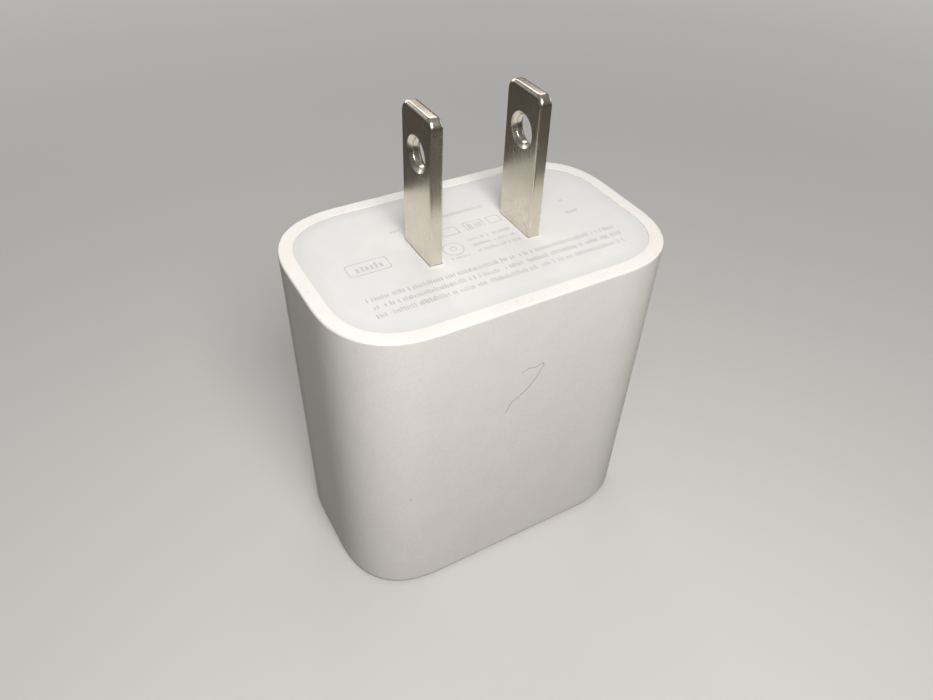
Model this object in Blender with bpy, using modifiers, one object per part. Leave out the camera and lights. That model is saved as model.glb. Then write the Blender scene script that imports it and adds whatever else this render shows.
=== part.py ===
"""A 20 W class USB-C wall charger with two fixed flat blades, as the assembly it is inside.

Everything is in metres, +Z up. The origin is the centre of the flat port end, on which the
charger stands; the blades point up. +X runs along the body's long side, from blade to blade,
and -Y is the wide front side. The main board stands upright near the front side.
"""

import math

import bmesh
import bpy
from mathutils import Matrix

MM = 0.001

# Body: a drawn-out rounded box, a little smaller at the port end so that it leaves its mould.
BODY_WIDTH = 42.6 * MM
BODY_DEPTH = 26.8 * MM
BODY_HEIGHT = 41.6 * MM
DRAFT = 0.45 * MM
CORNER_RADIUS = 10.4 * MM
CORNER_POWER = 2.5
CORNER_STEPS = 9
WALL = 2.1 * MM
FLOOR = 2.0 * MM
PORT_END_ROUND = 0.7 * MM
RIM_ROUND = 0.35 * MM

# End plate that closes the body, let into the rim.
RIM_WIDTH = 1.65 * MM
SEAM = 0.06 * MM
PLATE_THICKNESS = 2.2 * MM
PLATE_RECESS = 0.1 * MM
LEDGE_GAP = 0.1 * MM
COLLAR_WALL = 1.2 * MM
COLLAR_DEPTH = 2.0 * MM

# Blades: the ungrounded two-blade pattern for 125 V outlets, measured from the rim.
BLADE_SPACING = 12.7 * MM
BLADE_WIDTH = 6.35 * MM
BLADE_THICKNESS = 1.5 * MM
BLADE_REACH = 16.5 * MM
BLADE_OFFSET_Y = 0.55 * MM
BLADE_TIP_RADIUS = 1.1 * MM
BLADE_CHAMFER = 0.2 * MM
HOLE_HEIGHT = 11.7 * MM
HOLE_RADIUS = 1.6 * MM
HOLE_CHAMFER = 0.42 * MM
SLOT_GAP = 0.2 * MM
SHOULDER_WIDTH = 8.4 * MM
TAIL_WIDTH = 4.0 * MM

# Boards and the space that other parts hang on.
BOARD_THICKNESS = 1.0 * MM
BOARD_BACK_Y = -8.6 * MM
BOARD_FRONT_Y = BOARD_BACK_Y + BOARD_THICKNESS
BOARD_HALF_WIDTH = 16.7 * MM
BOARD_LOW_Z, BOARD_HIGH_Z = 3.0 * MM, 34.0 * MM
SEAT_Y = BOARD_FRONT_Y + 0.2 * MM
LEAD_END_Y = BOARD_BACK_Y - 0.6 * MM
LEAD_RADIUS = 0.3 * MM
LEAD_HOLE_RADIUS = 0.5 * MM
PORT_BOARD_Z = 9.9 * MM
PORT_BOARD_THICKNESS = 0.8 * MM

# USB-C receptacle, standing on the port board with its mouth in the body's floor.
PORT_INNER_WIDTH = 8.34 * MM
PORT_INNER_HEIGHT = 2.56 * MM
PORT_SHELL_WALL = 0.3 * MM
PORT_RECESS = 0.35 * MM
PORT_OPENING_GAP = 0.12 * MM
TONGUE_WIDTH = 6.69 * MM
TONGUE_THICKNESS = 0.7 * MM
TONGUE_TIP_Z = 1.0 * MM
INSULATOR_Z = 6.6 * MM
CONTACTS_PER_ROW = 12
CONTACT_PITCH = 0.5 * MM
CONTACT_WIDTH = 0.24 * MM
CONTACT_THICKNESS = 0.12 * MM

TOUCH_GAP = 0.1 * MM
MERGE = 0.00001

PLATE_TOP_Z = BODY_HEIGHT - PLATE_RECESS
PLATE_LOW_Z = PLATE_TOP_Z - PLATE_THICKNESS
LEDGE_Z = PLATE_LOW_Z - LEDGE_GAP
BLADE_TIP_Z = BODY_HEIGHT + BLADE_REACH
HOLE_Z = BODY_HEIGHT + HOLE_HEIGHT
CARRIER_HIGH_Z = PLATE_LOW_Z - TOUCH_GAP
CARRIER_LOW_Z = CARRIER_HIGH_Z - 3.3 * MM
SHOULDER_LOW_Z = CARRIER_LOW_Z + 0.7 * MM
SHOULDER_HIGH_Z = SHOULDER_LOW_Z + 1.2 * MM
TAIL_END_Z = CARRIER_LOW_Z - 2.8 * MM
PORT_TOP_Z = PORT_BOARD_Z - TOUCH_GAP

FACING = {
    "XY": (0.0, 0.0, 0.0),
    "XZ": (math.pi / 2, 0.0, 0.0),
    "YZ": (math.pi / 2, 0.0, math.pi / 2),
}
ALONG = {
    "X": (0.0, math.pi / 2, 0.0),
    "Y": (-math.pi / 2, 0.0, 0.0),
    "Z": (0.0, 0.0, 0.0),
}


# ---------------------------------------------------------------- scene and materials


def clear_scene():
    for obj in list(bpy.data.objects):
        bpy.data.objects.remove(obj, do_unlink=True)


def new_collection(name):
    collection = bpy.data.collections.new(name)
    bpy.context.scene.collection.children.link(collection)
    return collection


def make_material(name, colour, roughness, metallic=0.0):
    material = bpy.data.materials.new(name)
    material.use_nodes = True
    shader = material.node_tree.nodes["Principled BSDF"]
    shader.inputs["Base Color"].default_value = (*colour, 1.0)
    shader.inputs["Roughness"].default_value = roughness
    shader.inputs["Metallic"].default_value = metallic
    return material


clear_scene()
PARTS = new_collection("usb_wall_charger")
CUTTERS = new_collection("cutters")
ROOT = bpy.data.objects.new("charger_frame", None)
PARTS.objects.link(ROOT)

CASING = make_material("white_polycarbonate", (0.86, 0.85, 0.83), 0.35)
PLATE = make_material("matte_white_polycarbonate", (0.80, 0.80, 0.79), 0.55)
NICKEL = make_material("nickel_plated_brass", (0.72, 0.69, 0.62), 0.28, 1.0)
CARRIER = make_material("ivory_nylon", (0.75, 0.72, 0.64), 0.5)
BRONZE = make_material("phosphor_bronze", (0.72, 0.48, 0.30), 0.35, 1.0)
LAMINATE = make_material("green_laminate", (0.03, 0.16, 0.08), 0.4)
EPOXY = make_material("black_epoxy", (0.02, 0.02, 0.02), 0.5)
FUSE = make_material("brown_phenolic", (0.14, 0.07, 0.04), 0.5)
BLUE_EPOXY = make_material("blue_epoxy", (0.03, 0.12, 0.42), 0.4)
YELLOW_BOX = make_material("yellow_polyester", (0.75, 0.55, 0.10), 0.4)
SLEEVE = make_material("capacitor_sleeve", (0.05, 0.05, 0.07), 0.3)
ALUMINIUM = make_material("bare_aluminium", (0.78, 0.78, 0.79), 0.3, 1.0)
RUBBER = make_material("black_rubber", (0.03, 0.03, 0.03), 0.8)
FERRITE = make_material("ferrite", (0.09, 0.09, 0.10), 0.6)
COPPER = make_material("enamelled_copper", (0.62, 0.26, 0.12), 0.3, 1.0)
TAPE = make_material("yellow_tape", (0.80, 0.62, 0.12), 0.35)
PHENOLIC = make_material("black_phenolic", (0.04, 0.035, 0.03), 0.5)
STEEL = make_material("stainless_steel", (0.62, 0.62, 0.63), 0.3, 1.0)
INSULATOR = make_material("white_lcp", (0.70, 0.70, 0.68), 0.5)
GOLD = make_material("gold_plating", (0.83, 0.60, 0.22), 0.25, 1.0)
SILICONE = make_material("grey_silicone", (0.35, 0.38, 0.42), 0.7)
FILM = make_material("polyester_film", (0.60, 0.62, 0.60), 0.3)
CERAMIC = make_material("ceramic_chip", (0.45, 0.33, 0.22), 0.5)


# ---------------------------------------------------------------- modelling helpers


def add_part(name, mesh, material, centre=(0, 0, 0), rotation=(0, 0, 0)):
    """One named sub-part under the charger's frame."""
    obj = bpy.data.objects.new(name, mesh)
    PARTS.objects.link(obj)
    obj.parent = ROOT
    obj.location = centre
    obj.rotation_euler = rotation
    if material is not None:
        mesh.materials.append(material)
    return obj


def as_helper(obj):
    """Makes a part into a cutter, or a shape to be joined, that isn't itself a sub-part."""
    PARTS.objects.unlink(obj)
    CUTTERS.objects.link(obj)
    obj.hide_render = True
    obj.display_type = "WIRE"
    return obj


def mesh_from(build):
    mesh = bpy.data.meshes.new("shape")
    shape = bmesh.new()
    build(shape)
    shape.to_mesh(mesh)
    shape.free()
    return mesh


def box(name, size, centre, material=None):
    def build(shape):
        bmesh.ops.create_cube(shape, size=1.0, matrix=Matrix.Diagonal((*size, 1.0)))

    return add_part(name, mesh_from(build), material, centre)


def cylinder(name, radius, length, centre, along="Z", material=None, segments=24):
    def build(shape):
        bmesh.ops.create_cone(
            shape, cap_ends=True, segments=segments, radius1=radius, radius2=radius, depth=length
        )

    obj = add_part(name, mesh_from(build), material, centre, ALONG[along])
    obj.data.shade_smooth()
    obj.data.set_sharp_from_angle(angle=math.radians(40))
    return obj


def turned(name, profile, centre, along="Z", material=None, steps=24, closed=False):
    """A profile of (radius, height) points, going down its outer side, turned about its axis."""
    count = len(profile)
    edges = [(i, i + 1) for i in range(count - 1)]
    if closed:
        edges.append((count - 1, 0))
    mesh = bpy.data.meshes.new(name)
    mesh.from_pydata([(radius, 0.0, height) for radius, height in profile], edges, [])
    obj = add_part(name, mesh, material, centre, ALONG[along])
    screw = obj.modifiers.new("Turn", "SCREW")
    screw.steps = steps
    screw.render_steps = steps
    screw.use_merge_vertices = True
    screw.merge_threshold = MERGE
    screw.use_smooth_shade = False
    return obj


def slab(name, outline, thickness, centre, facing="XY", material=None, chamfer=0.0):
    """A flat outline with a thickness, from a filled 2D curve, made a mesh so that it can be cut."""
    curve = bpy.data.curves.new(name, "CURVE")
    curve.dimensions = "2D"
    curve.fill_mode = "BOTH"
    curve.extrude = thickness / 2 - chamfer
    curve.bevel_depth = chamfer
    curve.bevel_resolution = 0
    curve.offset = -chamfer
    spline = curve.splines.new("POLY")
    spline.points.add(len(outline) - 1)
    for point, (u, v) in zip(spline.points, outline):
        point.co = (u, v, 0.0, 1.0)
    spline.use_cyclic_u = True
    drawn = bpy.data.objects.new(name + "_outline", curve)
    bpy.context.scene.collection.objects.link(drawn)
    graph = bpy.context.evaluated_depsgraph_get()
    mesh = bpy.data.meshes.new_from_object(drawn.evaluated_get(graph))
    bpy.data.objects.remove(drawn)
    shape = bmesh.new()
    shape.from_mesh(mesh)
    bmesh.ops.remove_doubles(shape, verts=shape.verts, dist=MERGE / 10)
    bmesh.ops.recalc_face_normals(shape, faces=shape.faces)
    shape.to_mesh(mesh)
    shape.free()
    mesh.materials.clear()
    return add_part(name, mesh, material, centre, FACING[facing])


def rounded_outline(width, depth, radius, power=2.0, steps=CORNER_STEPS):
    """A rounded rectangle whose corners are superellipse quarters; power 2 makes them arcs."""
    points = []
    for quarter in range(4):
        side_x = 1 if quarter in (0, 3) else -1
        side_y = 1 if quarter in (0, 1) else -1
        for step in range(steps + 1):
            angle = (quarter + step / steps) * math.pi / 2
            across = math.copysign(abs(math.cos(angle)) ** (2 / power), math.cos(angle))
            up = math.copysign(abs(math.sin(angle)) ** (2 / power), math.sin(angle))
            point = (
                side_x * (width / 2 - radius) + radius * across,
                side_y * (depth / 2 - radius) + radius * up,
            )
            if not points or math.dist(point, points[-1]) > MERGE:
                points.append(point)
    if math.dist(points[0], points[-1]) < MERGE:
        points.pop()
    return points


def body_outline(inset):
    """The body's outline at the rim, moved in by inset with an even wall round the corners."""
    return rounded_outline(
        BODY_WIDTH - 2 * inset,
        BODY_DEPTH - 2 * inset,
        CORNER_RADIUS - 1.2 * inset,
        CORNER_POWER,
    )


def give_draft(obj, low_z):
    """Narrows a body-high slab towards the port end by DRAFT a side over the body's height."""
    share = (BODY_HEIGHT - low_z) / BODY_HEIGHT
    for vertex in obj.data.vertices:
        if vertex.co.z < 0:
            vertex.co.x *= 1 - 2 * DRAFT * share / BODY_WIDTH
            vertex.co.y *= 1 - 2 * DRAFT * share / BODY_DEPTH


def round_loop(obj, at_z, radius, segments):
    """Rounds the outline edge at one height, in the object's own frame."""
    shape = bmesh.new()
    shape.from_mesh(obj.data)
    loop = [
        edge
        for edge in shape.edges
        if all(abs(vertex.co.z - at_z) < MERGE for vertex in edge.verts)
        and edge.calc_face_angle() > math.radians(45)
    ]
    bmesh.ops.bevel(
        shape, geom=loop, offset=radius, segments=segments, profile=0.5, affect="EDGES"
    )
    shape.to_mesh(obj.data)
    shape.free()


def bevel(obj, width, segments=1):
    modifier = obj.modifiers.new("Edges", "BEVEL")
    modifier.width = width
    modifier.segments = segments
    modifier.limit_method = "ANGLE"
    modifier.angle_limit = math.radians(35)
    return obj


def boolean(obj, other, operation):
    modifier = obj.modifiers.new(operation.title(), "BOOLEAN")
    modifier.operation = operation
    modifier.solver = "EXACT"
    modifier.object = as_helper(other)
    return obj


def cut(obj, *cutters):
    for cutter in cutters:
        boolean(obj, cutter, "DIFFERENCE")
    return obj


def join(obj, *others):
    for other in others:
        boolean(obj, other, "UNION")
    return obj


def pin_set(name, places, radius, low_y, high_y, segments=8):
    """Round pins along Y at (x, z) places, as one helper shape for leads or for their holes."""

    def build(shape):
        for x, z in places:
            at = Matrix.Translation((x, (low_y + high_y) / 2, z))
            bmesh.ops.create_cone(
                shape,
                cap_ends=True,
                segments=segments,
                radius1=radius,
                radius2=radius,
                depth=high_y - low_y,
                matrix=at @ Matrix.Rotation(math.pi / 2, 4, "X"),
            )

    return add_part(name, mesh_from(build), None)


def block_set(name, size, places):
    """Equal blocks at the given centres, as one helper shape for rows of leads or grooves."""

    def build(shape):
        for place in places:
            at = Matrix.Translation(place) @ Matrix.Diagonal((*size, 1.0))
            bmesh.ops.create_cube(shape, size=1.0, matrix=at)

    return add_part(name, mesh_from(build), None)


BOARD_PINS = []


def with_leads(obj, places, high_y):
    """Joins wire leads to a part on the main board, and remembers the holes they need."""
    BOARD_PINS.extend(places)
    return join(obj, pin_set(obj.name + "_leads", places, LEAD_RADIUS, LEAD_END_Y, high_y))


# ---------------------------------------------------------------- casing


def make_outer_shell():
    shell = slab("outer_shell", body_outline(0), BODY_HEIGHT, (0, 0, BODY_HEIGHT / 2), "XY", CASING)
    give_draft(shell, 0.0)
    round_loop(shell, -BODY_HEIGHT / 2, PORT_END_ROUND, 3)
    round_loop(shell, BODY_HEIGHT / 2, RIM_ROUND, 2)

    beyond = 1 * MM
    depth = BODY_HEIGHT - FLOOR + beyond
    hollow = slab("hollow", body_outline(WALL), depth, (0, 0, FLOOR + depth / 2))
    give_draft(hollow, FLOOR)
    mouth_depth = BODY_HEIGHT - LEDGE_Z + 2 * beyond
    mouth = slab("mouth", body_outline(RIM_WIDTH), mouth_depth, (0, 0, LEDGE_Z + mouth_depth / 2))
    cut(shell, hollow, mouth)

    boss_height = 1.6 * MM
    boss_size = (13.0 * MM, 6.4 * MM)
    boss = slab(
        "port_boss",
        rounded_outline(*boss_size, 1.5 * MM, steps=3),
        boss_height + 0.5 * MM,
        (0, 0, FLOOR + (boss_height - 0.5 * MM) / 2),
    )
    join(shell, boss)
    rail_low, rail_high = FLOOR - 0.5 * MM, BOARD_HIGH_Z - 1 * MM
    rail_size = (4.0 * MM, 0.7 * MM, rail_high - rail_low)
    rail_x = BOARD_HALF_WIDTH - 0.9 * MM + rail_size[0] / 2
    middle = (BOARD_BACK_Y + BOARD_FRONT_Y) / 2
    from_board = BOARD_THICKNESS / 2 + 0.15 * MM + rail_size[1] / 2
    rails = block_set(
        "board_rails",
        rail_size,
        [
            (side_x * rail_x, middle + side_y * from_board, (rail_low + rail_high) / 2)
            for side_x in (-1, 1)
            for side_y in (-1, 1)
        ],
    )
    trimmed = slab("rail_trim", body_outline(WALL / 2), BODY_HEIGHT, (0, 0, BODY_HEIGHT / 2))
    boolean(rails, trimmed, "INTERSECT")
    join(shell, rails)

    opening = slab("port_opening", port_outline(PORT_SHELL_WALL + PORT_OPENING_GAP), 6 * MM, (0, 0, 2 * MM))
    cut(shell, opening)


def port_outline(grow):
    """The receptacle's mouth with its fully round ends, grown all round."""
    height = PORT_INNER_HEIGHT + 2 * grow
    return rounded_outline(PORT_INNER_WIDTH + 2 * grow, height, height / 2, steps=6)


def blade_window(name, gap, low_z, high_z, width=BLADE_WIDTH):
    """Two rectangular passages, one round each blade with a gap."""
    return block_set(
        name,
        (BLADE_THICKNESS + 2 * gap, width + 2 * gap, high_z - low_z),
        [(side * BLADE_SPACING / 2, BLADE_OFFSET_Y, (low_z + high_z) / 2) for side in (-1, 1)],
    )


STAKE_X = 10.4 * MM
STAKE_RADIUS = 0.9 * MM


def make_face_plate():
    plate = slab(
        "face_plate",
        body_outline(RIM_WIDTH + SEAM),
        PLATE_THICKNESS,
        (0, 0, PLATE_LOW_Z + PLATE_THICKNESS / 2),
        "XY",
        PLATE,
    )
    overlap = 0.3 * MM
    collar_height = COLLAR_DEPTH + overlap
    collar_centre = (0, 0, PLATE_LOW_Z + overlap - collar_height / 2)
    collar = slab("collar", body_outline(WALL + 0.15 * MM), collar_height, collar_centre)
    inside = slab(
        "collar_inside",
        body_outline(WALL + 0.15 * MM + COLLAR_WALL),
        collar_height * 2,
        (0, 0, PLATE_LOW_Z - collar_height),
    )
    cut(collar, inside)
    join(plate, collar)
    head_height = 0.6 * MM
    post_low = CARRIER_LOW_Z - TOUCH_GAP - head_height
    post_length = PLATE_LOW_Z + overlap - post_low
    profile = [
        (0.0, post_length),
        (STAKE_RADIUS, post_length),
        (STAKE_RADIUS, head_height),
        (STAKE_RADIUS + 0.5 * MM, head_height),
        (STAKE_RADIUS + 0.5 * MM, 0.25 * MM),
        (STAKE_RADIUS, 0.0),
        (0.0, 0.0),
    ]
    for side in (-1, 1):
        place = (side * STAKE_X, BLADE_OFFSET_Y, post_low)
        join(plate, turned(f"stake_post_{side}", profile, place, steps=12))
    cut(plate, blade_window("plate_slots", SLOT_GAP, PLATE_LOW_Z - 1 * MM, PLATE_TOP_Z + 1 * MM))


def make_blade_carrier():
    height = CARRIER_HIGH_Z - CARRIER_LOW_Z
    carrier = slab(
        "blade_carrier",
        rounded_outline(26.0 * MM, 11.0 * MM, 2.0 * MM, steps=4),
        height,
        (0, BLADE_OFFSET_Y, CARRIER_LOW_Z + height / 2),
        "XY",
        CARRIER,
    )
    beyond = 1 * MM
    gap = 0.05 * MM
    cut(
        carrier,
        blade_window("carrier_slots", gap, CARRIER_LOW_Z - beyond, CARRIER_HIGH_Z + beyond),
        blade_window(
            "shoulder_pockets", gap, SHOULDER_LOW_Z - gap, SHOULDER_HIGH_Z + gap, SHOULDER_WIDTH
        ),
    )
    for side in (-1, 1):
        centre = (side * STAKE_X, BLADE_OFFSET_Y, CARRIER_LOW_Z + height / 2)
        hole = cylinder(f"stake_hole_{side}", STAKE_RADIUS + TOUCH_GAP, height * 2, centre, segments=12)
        cut(carrier, hole)


def blade_outline():
    """Half of the flat blade from its tail to its tip, mirrored into a closed outline."""
    half = BLADE_WIDTH / 2
    slope = 0.1 * MM
    side = [
        (TAIL_WIDTH / 2, TAIL_END_Z),
        (TAIL_WIDTH / 2, CARRIER_LOW_Z),
        (half, CARRIER_LOW_Z + slope),
        (half, SHOULDER_LOW_Z),
        (SHOULDER_WIDTH / 2, SHOULDER_LOW_Z + slope),
        (SHOULDER_WIDTH / 2, SHOULDER_HIGH_Z - slope),
        (half, SHOULDER_HIGH_Z),
    ]
    steps = 6
    for step in range(steps + 1):
        angle = step / steps * math.pi / 2
        side.append(
            (
                half - BLADE_TIP_RADIUS * (1 - math.cos(angle)),
                BLADE_TIP_Z - BLADE_TIP_RADIUS * (1 - math.sin(angle)),
            )
        )
    return side + [(-y, z) for y, z in reversed(side)]


def make_blades():
    half = BLADE_THICKNESS / 2
    clear = 0.5 * MM
    flare = HOLE_RADIUS + HOLE_CHAMFER + clear
    hole_profile = [
        (0.0, half + clear),
        (flare, half + clear),
        (HOLE_RADIUS, half - HOLE_CHAMFER),
        (HOLE_RADIUS, -half + HOLE_CHAMFER),
        (flare, -half - clear),
        (0.0, -half - clear),
    ]
    for name, side in (("left_blade", -1), ("right_blade", 1)):
        x = side * BLADE_SPACING / 2
        centre = (x, BLADE_OFFSET_Y, 0)
        blade = slab(
            name, blade_outline(), BLADE_THICKNESS, centre, "YZ", NICKEL, BLADE_CHAMFER
        )
        hole_centre = (x, BLADE_OFFSET_Y, HOLE_Z)
        cut(blade, turned(name + "_hole", hole_profile, hole_centre, "X", steps=24))


def make_contact_springs():
    """Flat bronze springs that carry mains from each blade's tail down to the board."""
    pin_z = 31.0 * MM
    outline = [
        (LEAD_END_Y, pin_z - 0.4 * MM),
        (BOARD_FRONT_Y + 0.2 * MM, pin_z - 0.4 * MM),
        (BOARD_FRONT_Y + 0.2 * MM, pin_z - 1.0 * MM),
        (2.2 * MM, pin_z - 1.0 * MM),
        (2.2 * MM, CARRIER_LOW_Z - 0.4 * MM),
        (-1.4 * MM, CARRIER_LOW_Z - 0.4 * MM),
        (-1.4 * MM, pin_z + 1.0 * MM),
        (BOARD_FRONT_Y + 0.2 * MM, pin_z + 1.0 * MM),
        (BOARD_FRONT_Y + 0.2 * MM, pin_z + 0.4 * MM),
        (LEAD_END_Y, pin_z + 0.4 * MM),
    ]
    thickness = 0.4 * MM
    inner_face = BLADE_SPACING / 2 - BLADE_THICKNESS / 2
    for name, side in (("left_contact_spring", -1), ("right_contact_spring", 1)):
        x = side * (inner_face - TOUCH_GAP - thickness / 2)
        slab(name, outline, thickness, (x, 0, 0), "YZ", BRONZE)
        BOARD_PINS.append((x, pin_z))


# ---------------------------------------------------------------- parts on the main board


def standing_box(name, width, height, thickness_z, x, z, material, lead_pitch):
    """A boxed component that stands on the board, with two leads a pitch apart in X."""
    centre = (x, SEAT_Y + height / 2, z)
    obj = bevel(box(name, (width, height, thickness_z), centre, material), 0.4 * MM)
    places = [(x - lead_pitch / 2, z), (x + lead_pitch / 2, z)]
    return with_leads(obj, places, SEAT_Y + 1 * MM)


def standing_disc(name, radius, thickness, x, z, material):
    """A coated disc that stands on its edge over the board, on two leads."""
    lift = 0.3 * MM
    profile = [
        (0.0, thickness / 2),
        (radius * 0.75, thickness / 2),
        (radius, thickness / 5),
        (radius, -thickness / 5),
        (radius * 0.75, -thickness / 2),
        (0.0, -thickness / 2),
    ]
    disc = turned(name, profile, (x, SEAT_Y + lift + radius, z), "Z", material, steps=20)
    pitch = radius
    places = [(x - pitch / 2, z), (x + pitch / 2, z)]
    return with_leads(disc, places, SEAT_Y + lift + radius / 2)


def make_bulk_capacitors():
    radius, length = 4.1 * MM, 15.6 * MM
    bung_radius, bung_height = 3.3 * MM, 1.0 * MM
    pitch = 3.5 * MM
    base_y = SEAT_Y + bung_height + TOUCH_GAP
    profile = [
        (0.0, length),
        (radius - 0.5 * MM, length),
        (radius, length - 0.5 * MM),
        (radius, 2.2 * MM),
        (radius - 0.35 * MM, 1.8 * MM),
        (radius, 1.4 * MM),
        (radius, 0.4 * MM),
        (radius - 0.4 * MM, 0.0),
        (0.0, 0.0),
    ]
    for number, x in ((1, -11.2 * MM), (2, -2.6 * MM)):
        z = 16.7 * MM
        name = f"bulk_capacitor_{number}"
        can = turned(name, profile, (x, base_y, z), "Y", SLEEVE)
        places = [(x - pitch / 2, z), (x + pitch / 2, z)]
        with_leads(can, places, base_y + 1 * MM)
        bung = cylinder(
            f"{name}_bung",
            bung_radius,
            bung_height,
            (x, SEAT_Y + bung_height / 2, z),
            "Y",
            RUBBER,
            16,
        )
        holes = pin_set(f"{name}_bung_holes", places, LEAD_RADIUS + 0.05 * MM, SEAT_Y - 1 * MM, base_y)
        cut(bung, holes)


def make_choke():
    """A drum-core filter choke: the core and the wire wound on it."""
    x, z = 11.3 * MM, 29.4 * MM
    flange, hub, length, cheek = 3.7 * MM, 1.7 * MM, 9.0 * MM, 1.2 * MM
    core = [
        (0.0, length),
        (flange, length),
        (flange, length - cheek),
        (hub, length - cheek),
        (hub, cheek),
        (flange, cheek),
        (flange, 0.0),
        (0.0, 0.0),
    ]
    drum = turned("choke_core", core, (x, SEAT_Y, z), "Y", FERRITE, steps=20)
    with_leads(drum, [(x - 2.5 * MM, z), (x + 2.5 * MM, z)], SEAT_Y + cheek / 2)
    top, low = length - cheek - TOUCH_GAP, cheek + TOUCH_GAP
    outer = flange - 0.35 * MM
    coil = [(outer, top), (outer, low), (hub + TOUCH_GAP, low), (hub + TOUCH_GAP, top)]
    turned("choke_winding", coil, (x, SEAT_Y, z), "Y", COPPER, steps=20, closed=True)


def make_transformer():
    """Two ferrite halves that close on a bobbin, with the winding between its cheeks."""
    x, z = 8.6 * MM, 18.4 * MM
    width, depth_z, height = 13.6 * MM, 9.0 * MM, 14.0 * MM
    back, leg, post = 3.0 * MM, 2.2 * MM, 2.9 * MM
    low_y = SEAT_Y + 0.6 * MM
    mid_y = low_y + height / 2
    split = 0.05 * MM
    for name, side in (("transformer_core_lower", -1), ("transformer_core_upper", 1)):
        far_y = mid_y + side * height / 2
        core = box(name, (width, back, depth_z), (x, far_y - side * back / 2, z), FERRITE)
        reach = height / 2 - split
        leg_y = far_y - side * reach / 2
        legs = block_set(
            name + "_legs",
            (leg, reach, depth_z - 0.02 * MM),
            [(x + s * (width / 2 - leg / 2 - 0.01 * MM), leg_y, z) for s in (-1, 1)],
        )
        centre_post = cylinder(name + "_post", post, reach - 0.02 * MM, (x, leg_y, z), "Y", None, 20)
        join(core, legs, centre_post)
    hub_in, hub_out = post + TOUCH_GAP, post + 0.6 * MM
    cheek = 0.6 * MM
    inner_height = height - 2 * back
    cheek_width = width - 2 * leg - 2 * TOUCH_GAP
    cheek_depth = 12.6 * MM
    bobbin = cylinder(
        "transformer_bobbin",
        hub_out,
        inner_height - 2 * TOUCH_GAP,
        (x, mid_y, z),
        "Y",
        PHENOLIC,
        20,
    )
    cheek_y = inner_height / 2 - TOUCH_GAP - cheek / 2
    cheeks = block_set(
        "bobbin_cheeks",
        (cheek_width, cheek, cheek_depth),
        [(x, mid_y + s * cheek_y, z) for s in (-1, 1)],
    )
    bore = cylinder("bobbin_bore", hub_in, height, (x, mid_y, z), "Y", None, 20)
    pin_x, pin_z = 3.0 * MM, cheek_depth / 2 - 0.9 * MM
    places = [(x + sx * pin_x, z + sz * pin_z) for sx in (-1, 1) for sz in (-1, 1)]
    join(bobbin, cheeks)
    with_leads(bobbin, places, mid_y - cheek_y)
    cut(bobbin, bore)
    top = cheek_y - cheek / 2 - TOUCH_GAP
    outer = cheek_width / 2 - 0.2 * MM
    coil = [
        (outer, top),
        (outer, -top),
        (hub_out + TOUCH_GAP, -top),
        (hub_out + TOUCH_GAP, top),
    ]
    turned("transformer_winding", coil, (x, mid_y, z), "Y", TAPE, steps=24, closed=True)
    return x, mid_y + height / 2, z


def chip(name, width, thickness, height_z, x, z, leads_a_side, material=EPOXY):
    """A moulded package soldered to the board's back, with flat leads at its two ends."""
    centre_y = BOARD_BACK_Y - 0.15 * MM - thickness / 2
    body = bevel(box(name, (width, thickness, height_z), (x, centre_y, z), material), 0.12 * MM)
    if leads_a_side:
        pitch = width / leads_a_side
        lead = (pitch * 0.45, 0.2 * MM, height_z + 1.8 * MM)
        places = [
            (x + (i - (leads_a_side - 1) / 2) * pitch, centre_y + thickness / 2 - 0.25 * MM, z)
            for i in range(leads_a_side)
        ]
        join(body, block_set(name + "_leads", lead, places))
    return body


def make_main_board():
    """The upright main board, drilled for every lead that the parts on it have asked for."""
    board = box(
        "main_board",
        (2 * BOARD_HALF_WIDTH, BOARD_THICKNESS, BOARD_HIGH_Z - BOARD_LOW_Z),
        (0, (BOARD_BACK_Y + BOARD_FRONT_Y) / 2, (BOARD_LOW_Z + BOARD_HIGH_Z) / 2),
        LAMINATE,
    )
    isolation_slot = box(
        "isolation_slot",
        (1.2 * MM, 3 * MM, 7 * MM),
        (BOARD_HALF_WIDTH - 15.9 * MM, (BOARD_BACK_Y + BOARD_FRONT_Y) / 2, 21.0 * MM),
    )
    holes = pin_set(
        "board_holes", BOARD_PINS, LEAD_HOLE_RADIUS, BOARD_BACK_Y - 1 * MM, BOARD_FRONT_Y + 1 * MM
    )
    cut(board, holes, isolation_slot)


# ---------------------------------------------------------------- port end


OUTPUT_CAPACITOR_X = 9.4 * MM


def make_output_links():
    """Two bent copper bars that hold the port board square to the main board and feed it."""
    bar, drop_y, pin_z = 0.6 * MM, -5.4 * MM, 11.8 * MM
    low_z = PORT_BOARD_Z - 0.5 * MM
    outline = [
        (LEAD_END_Y, pin_z - bar / 2),
        (drop_y - bar, pin_z - bar / 2),
        (drop_y - bar, low_z),
        (drop_y, low_z),
        (drop_y, pin_z + bar / 2),
        (LEAD_END_Y, pin_z + bar / 2),
    ]
    for name, x in (("return_link", 3.4 * MM), ("supply_link", 6.8 * MM)):
        slab(name, outline, 0.5 * MM, (x, 0, 0), "YZ", COPPER)
        BOARD_PINS.append((x, pin_z))
        LINK_PLACES.append((x, drop_y - bar / 2))


LINK_PLACES = []


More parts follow.
